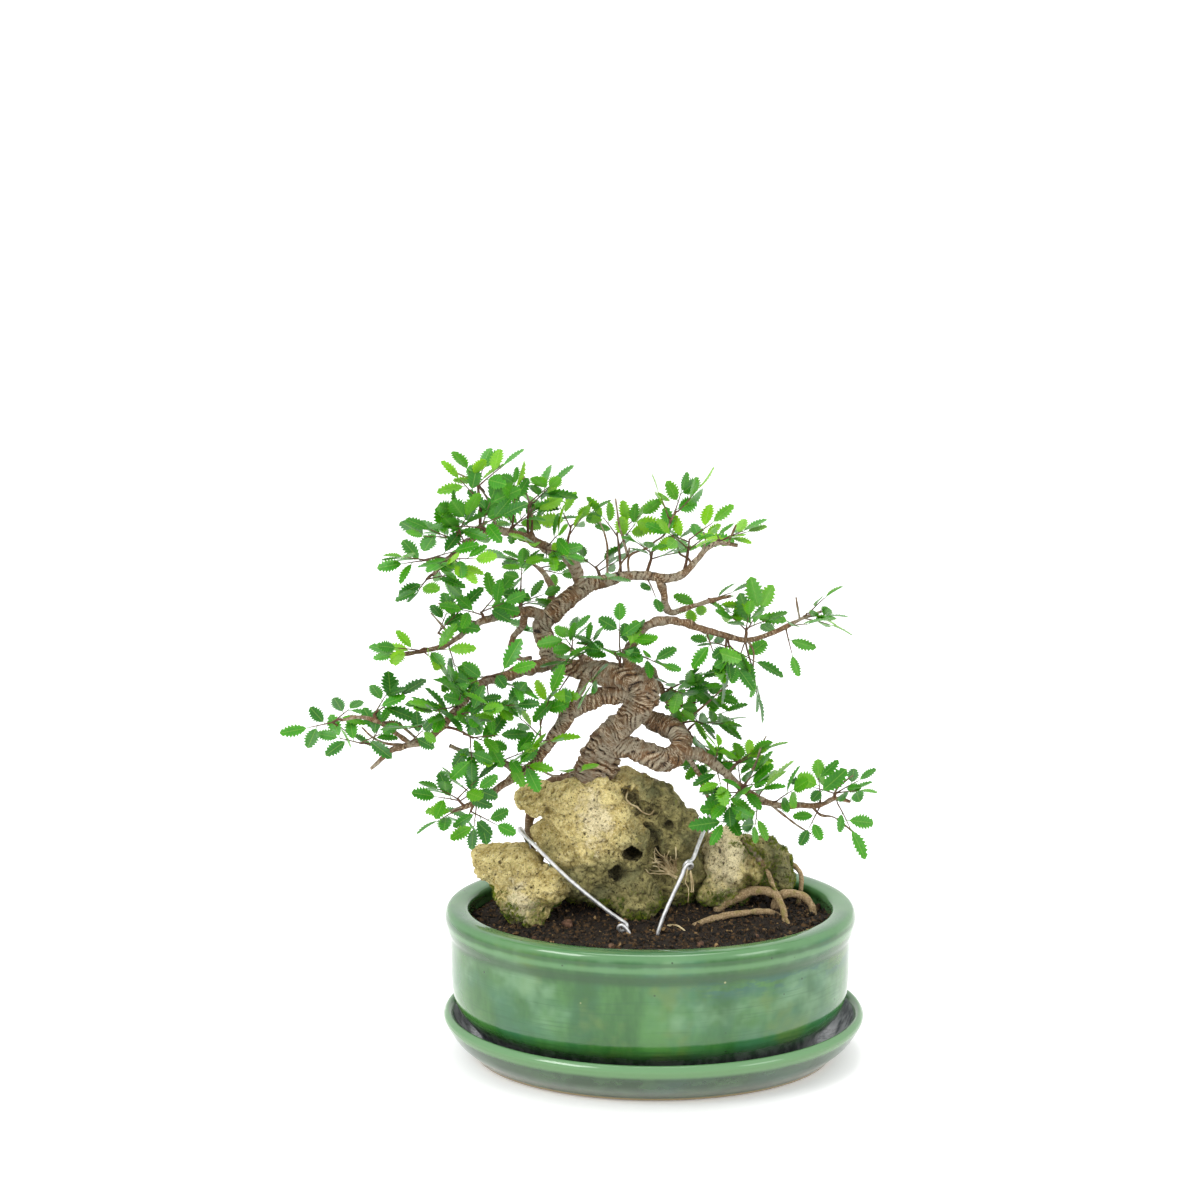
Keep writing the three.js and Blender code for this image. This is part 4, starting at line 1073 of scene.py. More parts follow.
def make_pot(finish):
    """The pot, with its drainage holes drilled and two notches cut across its foot."""
    skin = Skin()
    points, faces = oval_lathe(soften(POT_PROFILE, 3), SMOOTH_SEGMENTS)
    skin.add([(x, y, z + POT_BASE) for x, y, z in points], faces)
    pot = skin.finish("pot_glazed", finish)
    radius = DRAIN_RADIUS * MM
    for side in (-1, 1):
        place = Matrix.Translation((side * DRAIN_SPACING / 2 * MM, 0, POT_BASE * MM))
        drill = bmesh.new()
        bmesh.ops.create_cone(
            drill, cap_ends=True, segments=32, radius1=radius, radius2=radius, depth=0.04, matrix=place,
        )
        cut_out(pot, placed("drill", mesh_of(drill, "drill")))
    for width, length in ((FOOT_NOTCH, PAST_THE_POT), (PAST_THE_POT, FOOT_NOTCH)):
        size = Matrix.Diagonal((width * MM, length * MM, FOOT_NOTCH_HEIGHT * MM, 1))
        saw = bmesh.new()
        bmesh.ops.create_cube(saw, size=1, matrix=Matrix.Translation((0, 0, POT_BASE * MM)) @ size)
        cut_out(pot, placed("saw", mesh_of(saw, "saw")))
    return pot


def soil_height(x, y):
    """Height of the soil's surface in millimetres above the table."""
    reach = min(1.0, math.hypot(x / 92, y / 62))
    rough = noise.fractal(Vector((x * 0.11, y * 0.11, 3.7)), 0.9, 2.1, 4)
    fine = noise.fractal(Vector((x * 0.5, y * 0.5, 9.1)), 0.9, 2.1, 3)
    return SOIL_LEVEL + SOIL_CROWN * (1 - reach * reach) + 1.1 * rough + 0.55 * fine


def make_soil(finish):
    """The bed of soil: a rough top in rings, and a side and a bottom that follow the inside of the pot."""
    bottom = POT_BASE + 9.5
    outline = [(93.4, SOIL_LEVEL - 1), (93.4, POT_BASE + 26.6), (85.3, bottom), (0, bottom)]
    rings = [(SOIL_EDGE * (i + 1) / SOIL_RINGS, SOIL_LEVEL) for i in range(SOIL_RINGS)]
    points, faces = oval_lathe([(0, SOIL_LEVEL)] + rings + outline, SOIL_SEGMENTS)
    top = 1 + SOIL_RINGS * SOIL_SEGMENTS
    raised = [(x, y, soil_height(x, y)) if i < top else (x, y, z) for i, (x, y, z) in enumerate(points)]
    skin = Skin()
    skin.add(raised, [face[::-1] for face in faces])
    return skin.finish("soil_bed", finish)


def pebble(name, seed, finish, stretch):
    """A broken crumb of unit size for the scatter, made small by the scatter itself."""
    made = bmesh.new()
    bmesh.ops.create_icosphere(made, subdivisions=1, radius=1)
    for corner in made.verts:
        swell = 1 + 0.42 * noise.noise(corner.co * 1.3 + Vector((seed, 0, 0)))
        corner.co = Vector(c * s for c, s in zip(corner.co * swell, stretch))
    return bpy.data.objects.new(name, mesh_of(made, name, finish))


def make_clods(finish):
    """A few larger crumbs on the soil."""
    made = bmesh.new()
    for number, (x, y, size) in enumerate(CLODS):
        middle = Vector((x, y, soil_height(x, y) + 0.45 * size)) * MM
        place = Matrix.Translation(middle)
        fresh = bmesh.ops.create_icosphere(made, subdivisions=3, radius=size * MM, matrix=place)["verts"]
        for corner in fresh:
            way = (corner.co - middle) / (size * MM)
            broad = noise.noise(way * 1.5 + Vector((number * 3.1, 0, 0)))
            swell = 1 + 0.35 * broad + 0.1 * noise.noise(way * 5)
            corner.co = middle + Vector((way.x * swell, way.y * swell, way.z * swell * 0.8)) * size * MM
    mesh = mesh_of(made, "soil_clods", finish)
    smooth(mesh)
    return placed("soil_clods", mesh)


# Node trees for what repeats or wears.


def new_group(name, inputs, output):
    """A geometry node tree, its inputs as wires, and their identifiers. An input is label, kind and value."""
    group = bpy.data.node_groups.new(name, "GeometryNodeTree")
    sockets = {}
    for label, kind, value in inputs:
        made = group.interface.new_socket(label, in_out="INPUT", socket_type="NodeSocket" + kind)
        if value is not None:
            made.default_value = value
        sockets[label] = made.identifier
    group.interface.new_socket(output, in_out="OUTPUT", socket_type="NodeSocketGeometry")
    tree = Tree(group)
    start = group.nodes.new("NodeGroupInput")
    return tree, {socket.name: Wire(tree, socket) for socket in start.outputs}, sockets


def close_group(tree, result):
    end = tree.node_tree.nodes.new("NodeGroupOutput")
    tree.node_tree.links.new(result.socket, end.inputs[0])
    return tree.node_tree


def made_real(tree, points, thing, finish, values):
    """A mesh of copies of a thing on points, in one finish. Values are the other sockets of the copies."""
    values = {"Points": points, "Instance": thing, **values}
    copies = tree.add("GeometryNodeInstanceOnPoints", {}, values)
    real = tree.add("GeometryNodeRealizeInstances", {}, {"Geometry": copies})
    return tree.add("GeometryNodeSetMaterial", {}, {"Geometry": real, "Material": finish})


def scatter_tree():
    """A node tree that strews copies of a small thing over a bed and leaves only the copies."""
    tree, given, sockets = new_group("strew small things", [
        ("Bed", "Geometry", None), ("Thing", "Object", None), ("Finish", "Material", None),
        ("Per square metre", "Float", 1000.0), ("Smallest", "Float", 0.0005), ("Largest", "Float", 0.001),
        ("Upright", "Float", 0.0), ("Seed", "Int", 1),
    ], "Copies")
    density = given["Per square metre"] * tree.named("bed")
    values = {"Mesh": given["Bed"], "Density": density, "Seed": given["Seed"]}
    strewn = tree.add(
        "GeometryNodeDistributePointsOnFaces", {"distribute_method": "RANDOM"}, values, "Points",
    )
    facing = Wire(tree, find_socket(strewn.socket.node.outputs, "Rotation"))
    roll = tree.add(
        "FunctionNodeRandomValue", {"data_type": "FLOAT_VECTOR"},
        {"Min": (0.0, 0.0, 0.0), "Max": (math.tau, math.tau, math.tau), "Seed": given["Seed"]},
    )
    tumbled = tree.add("FunctionNodeEulerToRotation", {}, {"Euler": roll})
    upright = given["Upright"].math("GREATER_THAN", given["Upright"], 0.5)
    values = {"Switch": upright, "False": tumbled, "True": facing}
    turned = tree.add("GeometryNodeSwitch", {"input_type": "ROTATION"}, values)
    size = tree.add(
        "FunctionNodeRandomValue", {"data_type": "FLOAT"},
        {"Min_001": given["Smallest"], "Max_001": given["Largest"], "Seed": given["Seed"] + 7}, "Value_001",
    )
    thing = tree.add("GeometryNodeObjectInfo", {}, {"Object": given["Thing"]}, "Geometry")
    dressed = made_real(tree, strewn, thing, given["Finish"], {"Rotation": turned, "Scale": size})
    return close_group(tree, dressed), sockets


def strew(name, bed, thing, finish, scatter, cover, seed, upright=0.0):
    """Strews copies over a bed piece and returns them as a piece of their own.

    The cover is how many per square metre, then the smallest and the largest in millimetres.
    """
    group, sockets = scatter
    piece = bed.copy()
    piece.data = bed.data.copy()
    piece.name = name
    bpy.context.scene.collection.objects.link(piece)
    nodes = piece.modifiers.new("strew", "NODES")
    nodes.node_group = group
    density, smallest, largest = cover
    values = {
        "Thing": thing, "Finish": finish, "Per square metre": float(density), "Smallest": smallest * MM,
        "Largest": largest * MM, "Upright": upright, "Seed": seed,
    }
    for label, value in values.items():
        nodes[sockets[label]] = value
    return applied(piece)


def mark_bed(piece, share):
    """Stores on each point how thickly things are strewn there, from place and normal."""
    mesh = piece.data
    normals = np.zeros(len(mesh.vertices) * 3, np.float32)
    mesh.vertex_normals.foreach_get("vector", normals)
    pairs = zip(mesh.vertices, normals.reshape(-1, 3))
    keep(mesh, "bed", [share(vertex.co / MM, Vector(normal)) for vertex, normal in pairs])


def weathered_tree():
    """A node tree that wears a smooth stone: broad lumps, creases, ledges, grain and pits."""
    wear = (("Lumps", 2.2), ("Creases", 1.2), ("Ledges", 1.6), ("Grain", 0.5), ("Pits", 1.6))
    inputs = [("Stone", "Geometry", None)] + [(label, "Float", value) for label, value in wear]
    tree, given, _ = new_group("weathered stone", inputs, "Worn")
    place = tree.add("GeometryNodeInputPosition", {}, {})
    normal = tree.add("GeometryNodeInputNormal", {}, {})
    lumps = tree.noise(place, 17, 2.0, 0.5) - 0.5
    creases = (tree.noise(place, 11, 2.0) - 0.5).size().ramp(0.045, 0.0)
    ledges = tree.noise(place, 5.5, 4.0, 0.65, squeeze=(0.8, 0.8, 1.4)) - 0.5
    grain = tree.noise(place, 1.8, 3.0, 0.7) - 0.5
    sparse = tree.noise(place, 12, 2.0, 0.5).ramp(0.42, 0.58)
    pits = tree.cells(tree.vector("MULTIPLY", place, (1.0, 1.0, 0.65)), 4.4).ramp(0.28, 0.12) * sparse
    small = tree.cells(place, 2.3).ramp(0.32, 0.12) * tree.noise(place, 7, 2.0, 0.5).ramp(0.46, 0.6)
    lift = lumps * given["Lumps"] * 2 + ledges * given["Ledges"] * 2 + grain * given["Grain"] * 2
    lift = lift - creases * given["Creases"] - pits * given["Pits"] - small * given["Pits"] * 0.35
    shift = tree.add("ShaderNodeVectorMath", {"operation": "SCALE"}, {"Vector": normal, "Scale": lift * MM})
    moved = tree.add("GeometryNodeSetPosition", {}, {"Geometry": given["Stone"], "Offset": shift})
    # How deep each point lies in a crease or pit, less on ledges: it darkens the colour as dirt and painted
    # shade.
    deep = creases * 0.5 + pits * 0.85 + small * 0.45 - ledges * 0.9
    return close_group(tree, tree.add(
        "GeometryNodeStoreNamedAttribute", {"data_type": "FLOAT", "domain": "POINT"},
        {"Geometry": moved, "Name": "deep", "Value": deep},
    ))


# Stones.


def boulder(rows, facets=0, detail=4, seed=1):
    """Lumps as on the solids, each pressed flat on a few random sides and then warped."""
    noise.seed_set(STONE_SEED)
    draw = Draw(seed)
    made = bmesh.new()
    for x, y, z, half_x, half_y, half_z in rows:
        planes = [(wild(draw).normalized(), 0.7 + 0.2 * draw()) for _ in range(facets)]
        fresh = bmesh.ops.create_icosphere(made, subdivisions=detail, radius=1)["verts"]
        for corner in fresh:
            u, v, w = corner.co
            swell = 1 + 0.05 * math.sin(5 * u + x) * math.cos(4 * v + y) + 0.05 * math.sin(6 * w + 3 * u + z)
            spot = corner.co * swell
            for way, limit in planes:
                spot = spot - way * max(0.0, spot.dot(way) - limit) * 0.9
            place = Vector((x + spot.x * half_x, y + spot.y * half_y, z + spot.z * half_z))
            warp = noise.noise_vector(place * 0.06) * 2.6 + noise.noise_vector(place * 0.17) * 1.3
            corner.co = (place + warp) * MM
    return placed("boulder", mesh_of(made, "boulder"))


def remeshed(piece, voxel):
    grid = piece.modifiers.new("grid", "REMESH")
    grid.mode = "VOXEL"
    grid.voxel_size = voxel * MM
    return applied(piece)


def mark_painted_shade(stone):
    """Stores on each point how much of its outlook nearby stone blocks, from 0 in the open to 1, which
    darkens the stone as painted shade.
    """
    tree = search_tree(stone.data, 1)
    tilts = [Vector((0.9 * math.cos(a), 0.9 * math.sin(a), 0.3)) for a in (0.3, 1.35, 2.4, 3.45, 4.5, 5.55)]
    values = []
    for corner in stone.data.vertices:
        normal = corner.normal
        lean = normal.orthogonal().normalized()
        other = normal.cross(lean)
        start = corner.co + normal * (0.5 * MM)
        ways = (lean * tilt.x + other * tilt.y + normal * (tilt.z + 0.35) for tilt in tilts)
        blocked = sum(tree.ray_cast(start, way, SHADE_RAY_REACH * MM)[0] is not None for way in ways)
        values.append(blocked / len(tilts))
    keep(stone.data, "painted_shade", values)


def make_stone(name, finish, weather):
    """One stone: its lumps are joined, hollowed and worn."""
    stone = remeshed(boulder(STONES[name]["lumps"], facets=FACETS, seed=len(name) * 7), LUMP_VOXEL)
    cut_out(stone, remeshed(boulder(STONES[name]["hollows"], detail=3), HOLLOW_VOXEL))
    remeshed(stone, STONE_VOXEL)
    stone.modifiers.new("wear", "NODES").node_group = weather
    applied(stone)
    stone.name = stone.data.name = name + "_worn"
    stone.data.materials.clear()
    stone.data.materials.append(finish)
    smooth(stone.data)
    mark_painted_shade(stone)
    return stone


def moss_share(name):
    """How thickly moss grows at a place of a stone: on the right one's dark side, and at every foot."""

    def share(place, normal):
        patch = noise.noise(place * 0.14 + Vector((2, 5, 1))) + 0.5 * noise.noise(place * 0.5)
        if place.z < 80 + 9 * patch and patch > 0.1:
            return 1.0
        if name == "rock_left":
            return float(place.z < 90 and place.x < -68 and patch > 0.05)
        off_strand = min(abs(place.x - x) + abs(place.z - z) for x, z in MOSS_STRAND)
        beside = off_strand < 6 + 6 * patch and place.y < 10
        crown = place.x > 46 and patch > -0.02 and normal.z > -0.2
        return float(name == "rock_right" and (beside or crown))

    return share


def moss_tuft(name, finish):
    """A few leaning three-sided spikes of unit height."""
    draw = Draw(99)
    points, faces = [], []
    for i in range(5):
        turn = math.tau * (i + 0.6 * draw()) / 5
        lean = 0.25 + 0.5 * draw()
        foot = Vector((0.3 * math.cos(turn), 0.3 * math.sin(turn), -0.15))
        tip = Vector((lean * math.cos(turn), lean * math.sin(turn), 0.6 + 0.5 * draw()))
        start = len(points)
        for j in range(3):
            side = turn + math.tau * j / 3
            points.append(foot + Vector((0.17 * math.cos(side), 0.17 * math.sin(side), 0)))
        points.append(tip)
        corners = ((0, 1, 3), (1, 2, 3), (2, 0, 3), (2, 1, 0))
        faces += [tuple(start + corner for corner in face) for face in corners]
    mesh = bpy.data.meshes.new(name)
    mesh.from_pydata(points, [], faces)
    mesh.materials.append(finish)
    return bpy.data.objects.new(name, mesh)


# Tree, rootlets and wires.


def bark_relief(folds, strings, lay, wide, lumps):
    """Bark wound round the limb in uneven oblique folds, with sharp cracks between and strings on them."""

    def relief(angle, run, radius, place):
        drift = noise.noise(place * 0.09) * 3.2 + noise.noise(place * 0.3) * 0.7
        slant = lay * math.cos(angle + 0.7)
        ahead = run + slant + drift
        uneven = 1.3 * noise.noise(Vector((ahead * 0.16, 3, 7))) + 0.5 * noise.noise(place * 0.17)
        fold = abs(math.sin(math.pi * (ahead / wide + uneven))) ** 0.5
        ahead += 0.5 * slant + 0.3 * drift
        aside = noise.noise(place * 0.2 + Vector((3, 0, 0)))
        uneven = 1.6 * noise.noise(Vector((ahead * 0.3, 8, 1))) + 1.2 * aside
        thread = abs(math.sin(math.pi * (ahead / BARK_THREAD + uneven))) ** 0.6
        keeps = min(1.0, max(0.2, 0.8 + 1.5 * noise.noise(place * 0.15 + Vector((0, 9, 0)))))
        stringy = min(1.0, max(0.3, 0.8 + 1.4 * noise.noise(place * 0.21 + Vector((0, 0, 4)))))
        rough = noise.noise(place * 1.1)
        swell = lumps * noise.noise(place * 0.24 + Vector((5, 0, 0)))
        share = keeps * folds * (fold - 0.75) + stringy * strings * (thread - 0.7) + 0.02 * rough + swell
        seen_fold, seen_string = min(0.55, 1.9 * folds), min(0.45, 3.6 * strings)
        mark = seen_fold * keeps * (fold - 0.7) + seen_string * stringy * (thread - 0.7)
        return share, 0.5 + mark + 0.1 * rough

    return relief


def bark_tube(skin, points, kind):
    around, step, relief = BARKS[kind]
    tube(skin, points, around, step, bark_relief(*relief))


def make_tree(finish):
    skin = Skin()
    bark_tube(skin, TRUNK, "trunk")
    for name, points in LIMBS.items():
        kind = "stout limb" if points[1][3] > STOUT_RADIUS else "limb"
        bark_tube(skin, points, "curl" if name == "curl" else kind)
    for points in ROOTS.values():
        bark_tube(skin, points, "root")
    for points in TWIG_ROUTES:
        last = len(points) - 1
        taper = [(*point, TWIG_RADIUS * (1.15 - 0.5 * i / last)) for i, point in enumerate(points)]
        bark_tube(skin, taper, "twig")
    return skin.finish("tree_bark", finish)


def make_fibre(skin, points, thickness, around=5, step=1.2):
    """A thin strand through the given points, tapering to its end."""
    last = len(points) - 1
    tube(skin, [(*point, thickness * (1.1 - 0.5 * i / last)) for i, point in enumerate(points)], around, step)


def laid(stone, x, z, lift, fallback):
    """The point on the front of a stone at this place, lifted a little off it."""
    spot = stone.ray_cast(Vector((x, -90, z)), Vector((0, 1, 0)), 110)[0]
    return Vector((x, (spot.y if spot is not None else fallback) - lift, z))


def draped(stone, places, lift, fallback):
    """Points over the front of a stone, none of them further back than its neighbours' middle."""
    points = [laid(stone, x, z, lift, fallback) for x, z in places]
    for _ in range(2):
        for i in range(1, len(points) - 1):
            points[i].y = min(points[i].y, (points[i - 1].y + points[i + 1].y) / 2)
    return points


def make_rootlets(stone, finish):
    """The dry tuft in the rock's hollow, the pale root above it, strands at the knot and one on the soil."""
    skin = Skin()
    draw = Draw(4242)
    for _ in range(TUFT_STRANDS):
        x, z = TUFT_SEAT[0] + 5 * (draw() - 0.5), TUFT_SEAT[1] + 6 * (draw() - 0.5)
        way = math.radians(92 + 76 * draw())
        reach = 8 + 8 * draw()
        sway = 6 * (draw() - 0.5)
        places = []
        for i in range(7):
            run = i / 6
            aside = sway * math.sin(3.4 * run + 1.5 * draw()) * run
            places.append((
                x + reach * run * math.cos(way) + aside * math.sin(way),
                z + reach * run * math.sin(way) - aside * math.cos(way),
            ))
        points = draped(stone, places, 0.5 + 2.4 * draw(), -6.0)
        make_fibre(skin, points, 0.3 + 0.16 * draw(), step=0.8)
    make_fibre(skin, draped(stone, PALE_ROOT, 0.9, -12.0), 0.5, around=7, step=0.6)
    for x, z in KNOT_STRANDS:
        drop = []
        for i in range(5):
            aside = 1.6 * (draw() - 0.5)
            drop.append(Vector((x + aside, -13.6 - 0.6 * i, z - (2 + 2.4 * draw()) * i)))
        make_fibre(skin, drop, 0.34)
    make_fibre(skin, SOIL_ROOT, 0.6, around=7)
    return skin.finish("rootlets", finish)


def make_moss_strand(stone, finish):
    """The root that hangs over the right stone down to the soil, under its moss."""
    skin = Skin()
    met = [(x, z) for x, z in MOSS_STRAND if z < 80 or laid(stone, x, z, 0, fallback=-99).y > -90]
    points = [(*point, 1.5 - 0.12 * i) for i, point in enumerate(draped(stone, met, 0.3, -6.0))]
    bark_tube(skin, points, "strand")
    return skin.finish("moss_strand", finish)


def make_wire(name, finish):
    skin = Skin()
    tube(skin, [(*point, WIRE_RADIUS) for point in WIRES[name]], 12, 0.9)
    return skin.finish(name + "_drawn", finish)


# Leaves.


def make_leaf(name, length, width, fold, arch, finish):
    """A toothed blade with its stalk, closed and thin, along +X with its face to +Z."""
    step = 1.0 / (LEAF_TEETH + 1)

    def half(share):
        return width / 2 * math.sin(math.pi * min(1.0, share) ** 0.95) ** 0.7

    def lift(u, v):
        return fold * abs(v) - arch * (u / length) ** 2 + 0.12 * math.sin(u * 1.9) * abs(v) / width

    made = bmesh.new()
    uv = made.loops.layers.uv.new("UVMap")
    under = made.verts.layers.float.new("underside")

    def corner(share, across, low):
        u = LEAF_STALK + share * length
        point = made.verts.new(Vector((u, across, lift(u, across) - (LEAF_THICKNESS if low else 0.0))) * MM)
        point[under] = 1.0 if low else 0.0
        return point, (0.5 + across / width, share)

    base = corner(0, 0, False)
    tip = corner(1.0, 0, False)
    ribs = {
        low: [base] + [corner(step * i, 0, low) for i in range(1, LEAF_TEETH + 1)] + [tip]
        for low in (False, True)
    }
    edges = {}
    for side in (-1, 1):
        edges[side] = []
        for i in range(LEAF_TEETH):
            notch = step * (i + 0.35)
            tooth = notch + step * 0.74
            edges[side].append(corner(notch, side * NOTCH_WIDTH * half(notch), False))
            edges[side].append(corner(tooth, side * TOOTH_WIDTH * half(notch + step * 0.45), False))
    for low in (False, True):
        for side in (-1, 1):
            line = edges[side]
            rib = ribs[low]
            shapes = [(rib[0], line[0], line[1], rib[1])]
            for i in range(1, LEAF_TEETH):
                shapes.append((rib[i], line[2 * i - 1], line[2 * i]))
                shapes.append((rib[i], line[2 * i], line[2 * i + 1], rib[i + 1]))
            shapes.append((rib[LEAF_TEETH], line[-1], tip))
            for shape in shapes:
                ordered = shape if (side == -1) != low else shape[::-1]
                face = made.faces.new([point for point, _ in ordered])
                face.smooth = True
                for loop, (_, place) in zip(face.loops, ordered):
                    loop[uv].uv = place
    for edge in made.edges:
        below = [max(point[under] for point in face.verts) > 0.5 for face in edge.link_faces]
        edge.smooth = len(set(below)) == 1
    stem = [made.verts.new(Vector((x, 0.22 * math.cos(a), 0.22 * math.sin(a) - 0.12)) * MM)
            for x in (-0.6, LEAF_STALK + 0.7) for a in (0.5, 2.6, 4.7)]
    for j in range(3):
        k = (j + 1) % 3
        made.faces.new((stem[j], stem[k], stem[3 + k], stem[3 + j]))
    made.faces.new(stem[2::-1])
    made.faces.new(stem[3:])
    return bpy.data.objects.new(name, mesh_of(made, name, finish))


def foliage_tree(leaves):
    """A node tree that sets a leaf on each point, turned, sized and chosen by the point."""
    inputs = [("Seats", "Geometry", None), ("Finish", "Material", None)]
    tree, given, sockets = new_group("leaves on points", inputs, "Leaves")
    rotation = tree.add("FunctionNodeEulerToRotation", {}, {"Euler": tree.named("turn", "FLOAT_VECTOR")})
    choice = tree.add("GeometryNodeGeometryToInstance", {}, {})
    for leaf in reversed(leaves):
        shape = tree.add("GeometryNodeObjectInfo", {}, {"Object": leaf}, "Geometry")
        tree.node_tree.links.new(shape.socket, choice.socket.node.inputs[0])
    dressed = made_real(tree, given["Seats"], choice, given["Finish"], {
        "Pick Instance": True, "Instance Index": tree.named("kind", "INT"), "Rotation": rotation,
        "Scale": tree.named("size"),
    })
    return close_group(tree, dressed), sockets["Finish"]


def plan_spray(row, number):
    """The stem of a spray and its shoots, as the solids have them, then the extra ones.

    A shoot is its root, its direction, the way its leaves face, its size and its leaves.
    """
    name, root, heart, reach, shoots, _ = row
    draw = Draw(1000 + number * 77)
    start, middle = Vector(root), Vector(heart)
    axis = middle - start
    fork = middle - axis.normalized() * min(SHOOT_SETBACK, axis.length * 0.6)
    outward = -0.8 if middle.y < TREE_AXIS[1] else 0.8
    facing = Vector((0.15 * math.copysign(1, middle.x - TREE_AXIS[0]), outward, 0.8))
    upward = Vector((facing.x, outward * 0.6, 0.9))
    plans = []
    for i in range(shoots):
        turn = (i + 0.6 * draw()) * math.tau / shoots
        aim = Vector((reach[0] * math.cos(turn), reach[1] * math.sin(turn), reach[2] * (draw() - 0.25)))
        along = (middle + aim - fork).normalized()
        up = facing + 0.9 * wild(draw)
        plans.append((start.lerp(fork, 0.97 - 0.26 * i), along, up, 0.88 + 0.26 * draw(), 3))
    extra = 1 if name in THIN_SPRAYS else EXTRA_SHOOTS
    for i in range(extra):
        turn = (i + 0.5 + 0.6 * draw()) * math.tau / extra + 0.9
        aim = Vector((reach[0] * math.cos(turn), reach[1] * math.sin(turn), reach[2] * (1.7 * draw() - 0.7)))
        along = (middle + aim * 0.9 - fork).normalized()
        up = upward + 1.5 * wild(draw)
        plans.append((start.lerp(fork, 0.9 - 0.24 * i), along, up, 0.8 + 0.28 * draw(), 4))
    stems = [(start, fork)]
    for seat, tip, count in FILL_SHOOTS.get(name, []):
        seat, tip = Vector(seat), Vector(tip)
        along = (tip - seat).normalized()
        up = upward + 1.3 * wild(draw)
        rib_start = tip - along * min(RIB_LENGTH, (tip - seat).length * 0.8)
        stems.append((seat, rib_start))
        plans.append((rib_start, along, up, 0.84 + 0.28 * draw(), count))
    return stems, plans, draw


def seat_leaves(plan, draw):
    """The leaves of one shoot as place, direction, face, size and tint, and the points of the shoot's rib."""
    root, along, up, size, count = plan
    across = up.cross(along).normalized()
    face = along.cross(across)
    rib = RIB_LENGTH * size
    spacing = rib / (count - 0.6) if count > 3 else 4 * size
    leaves = []
    for i in range(count):
        last = i == count - 1
        run = rib if last else FIRST_LEAF * size + i * spacing
        side = 0 if last else (-1, 1)[i % 2]
        angle = side * (SIDE_LEAF_ANGLE + 0.3 * (draw() - 0.5))
        way = (along * math.cos(angle) + across * math.sin(angle) + face * 0.3 * (draw() - 0.55)).normalized()
        tilt = Quaternion(way, side * 0.25 + 0.9 * (draw() - 0.5))
        share = 0.78 + 0.3 * draw() if last else 0.84 + 0.32 * draw()
        leaves.append((root + along * run - face * 0.006 * run * run, way, tilt @ face, size * share, draw()))
    middle = root + along * rib * 0.5 - face * 0.0015 * rib * rib
    return leaves, [root, middle, root + along * rib - face * 0.006 * rib * rib]


def make_spray(row, number, foliage, finish, twig):
    """One leafy spray: leaves set on points by nodes, and their stem and ribs as tubes."""
    name, young = row[0], row[5]
    stems, plans, draw = plan_spray(row, number)
    leaves = []
    skin = Skin()
    for order, (start, fork) in enumerate(stems):
        bend = (start + fork) / 2 + Vector((draw() - 0.5, draw() - 0.5, 0.6)) * 1.6
        stout = 0.85 if order == 0 else 0.6
        bark_tube(skin, [(*start, stout), (*bend, stout * 0.82), (*fork, stout * 0.66)], "stem")
    for plan in plans:
        found, points = seat_leaves(plan, draw)
        leaves += found
        tube(skin, [(*point, 0.42 - 0.1 * i) for i, point in enumerate(points)], 5, 2.5)
    mesh = bpy.data.meshes.new("spray_" + name + "_seats")
    mesh.from_pydata([tuple(place * MM) for place, *_ in leaves], [], [])
    turns = []
    for _, way, face, _, _ in leaves:
        side = face.cross(way).normalized()
        turns += Matrix((way, side, way.cross(side))).transposed().to_euler()
    fresh = 0.62 if young else 0.34
    keep(mesh, "turn", turns, "FLOAT_VECTOR")
    keep(mesh, "size", [size for _, _, _, size, _ in leaves])
    keep(mesh, "kind", [int(tint * 2.99) for *_, tint in leaves], "INT")
    keep(mesh, "tint", [min(1.0, max(0.0, fresh + 0.75 * (tint * 7.3 % 1 - 0.5))) for *_, tint in leaves])
    piece = placed("spray_" + name + "_leaves", mesh)
    nodes = piece.modifiers.new("leaves", "NODES")
    nodes.node_group, finish_socket = foliage
    nodes[finish_socket] = finish
    applied(piece)
    twigs = skin.finish("twigs", twig)
    joined = bmesh.new()
    joined.from_mesh(piece.data)
    count = len(joined.faces)
    joined.from_mesh(twigs.data)
    joined.to_mesh(piece.data)
    joined.free()
    bpy.data.objects.remove(twigs)
    piece.data.materials.clear()
    piece.data.materials.append(finish)
    piece.data.materials.append(twig)
    faces = piece.data.polygons
    faces.foreach_set("material_index", [0] * count + [1] * (len(faces) - count))
    return piece


# Studio.


def make_studio():
    half = FLOOR_HALF
    floor = bpy.data.meshes.new("floor")
    corners = [(-half, -half, 0), (half, -half, 0), (half, half, 0), (-half, half, 0)]
    floor.from_pydata(corners, [], [(0, 1, 2, 3)])
    floor.materials.append(material("pale floor", lambda tree: {
        "Base Color": (0.97, 0.97, 0.97, 1.0), "Roughness": 0.9,
        "Emission Color": (1.0, 1.0, 1.0, 1.0), "Emission Strength": FLOOR_GLOW,
    }))
    placed("floor", floor)

    world = bpy.data.worlds.new("studio")
    bpy.context.scene.world = world
    world.use_nodes = True
    sky = world.node_tree.nodes["Background"].inputs
    sky["Color"].default_value = (1.0, 1.0, 1.0, 1.0)
    sky["Strength"].default_value = WORLD_LIGHT
    bpy.context.scene.view_settings.view_transform = "Standard"

    for name, place, size, power in LAMPS:
        lamp = bpy.data.lights.new(name, "AREA")
        lamp.size = size
        lamp.energy = power
        light = placed(name, lamp)
        light.location = place
        aim = Vector(LAMP_TARGET) - Vector(place)
        light.rotation_euler = aim.to_track_quat("-Z", "Y").to_euler()

    lens = bpy.data.cameras.new("camera")
    lens.lens = CAMERA_LENS
    lens.sensor_width = 36
    camera = placed("camera", lens)
    camera.location = Vector(CAMERA_PLACE) * MM
    camera.rotation_euler = (math.pi / 2 - CAMERA_PITCH, 0, 0)
    bpy.context.scene.camera = camera


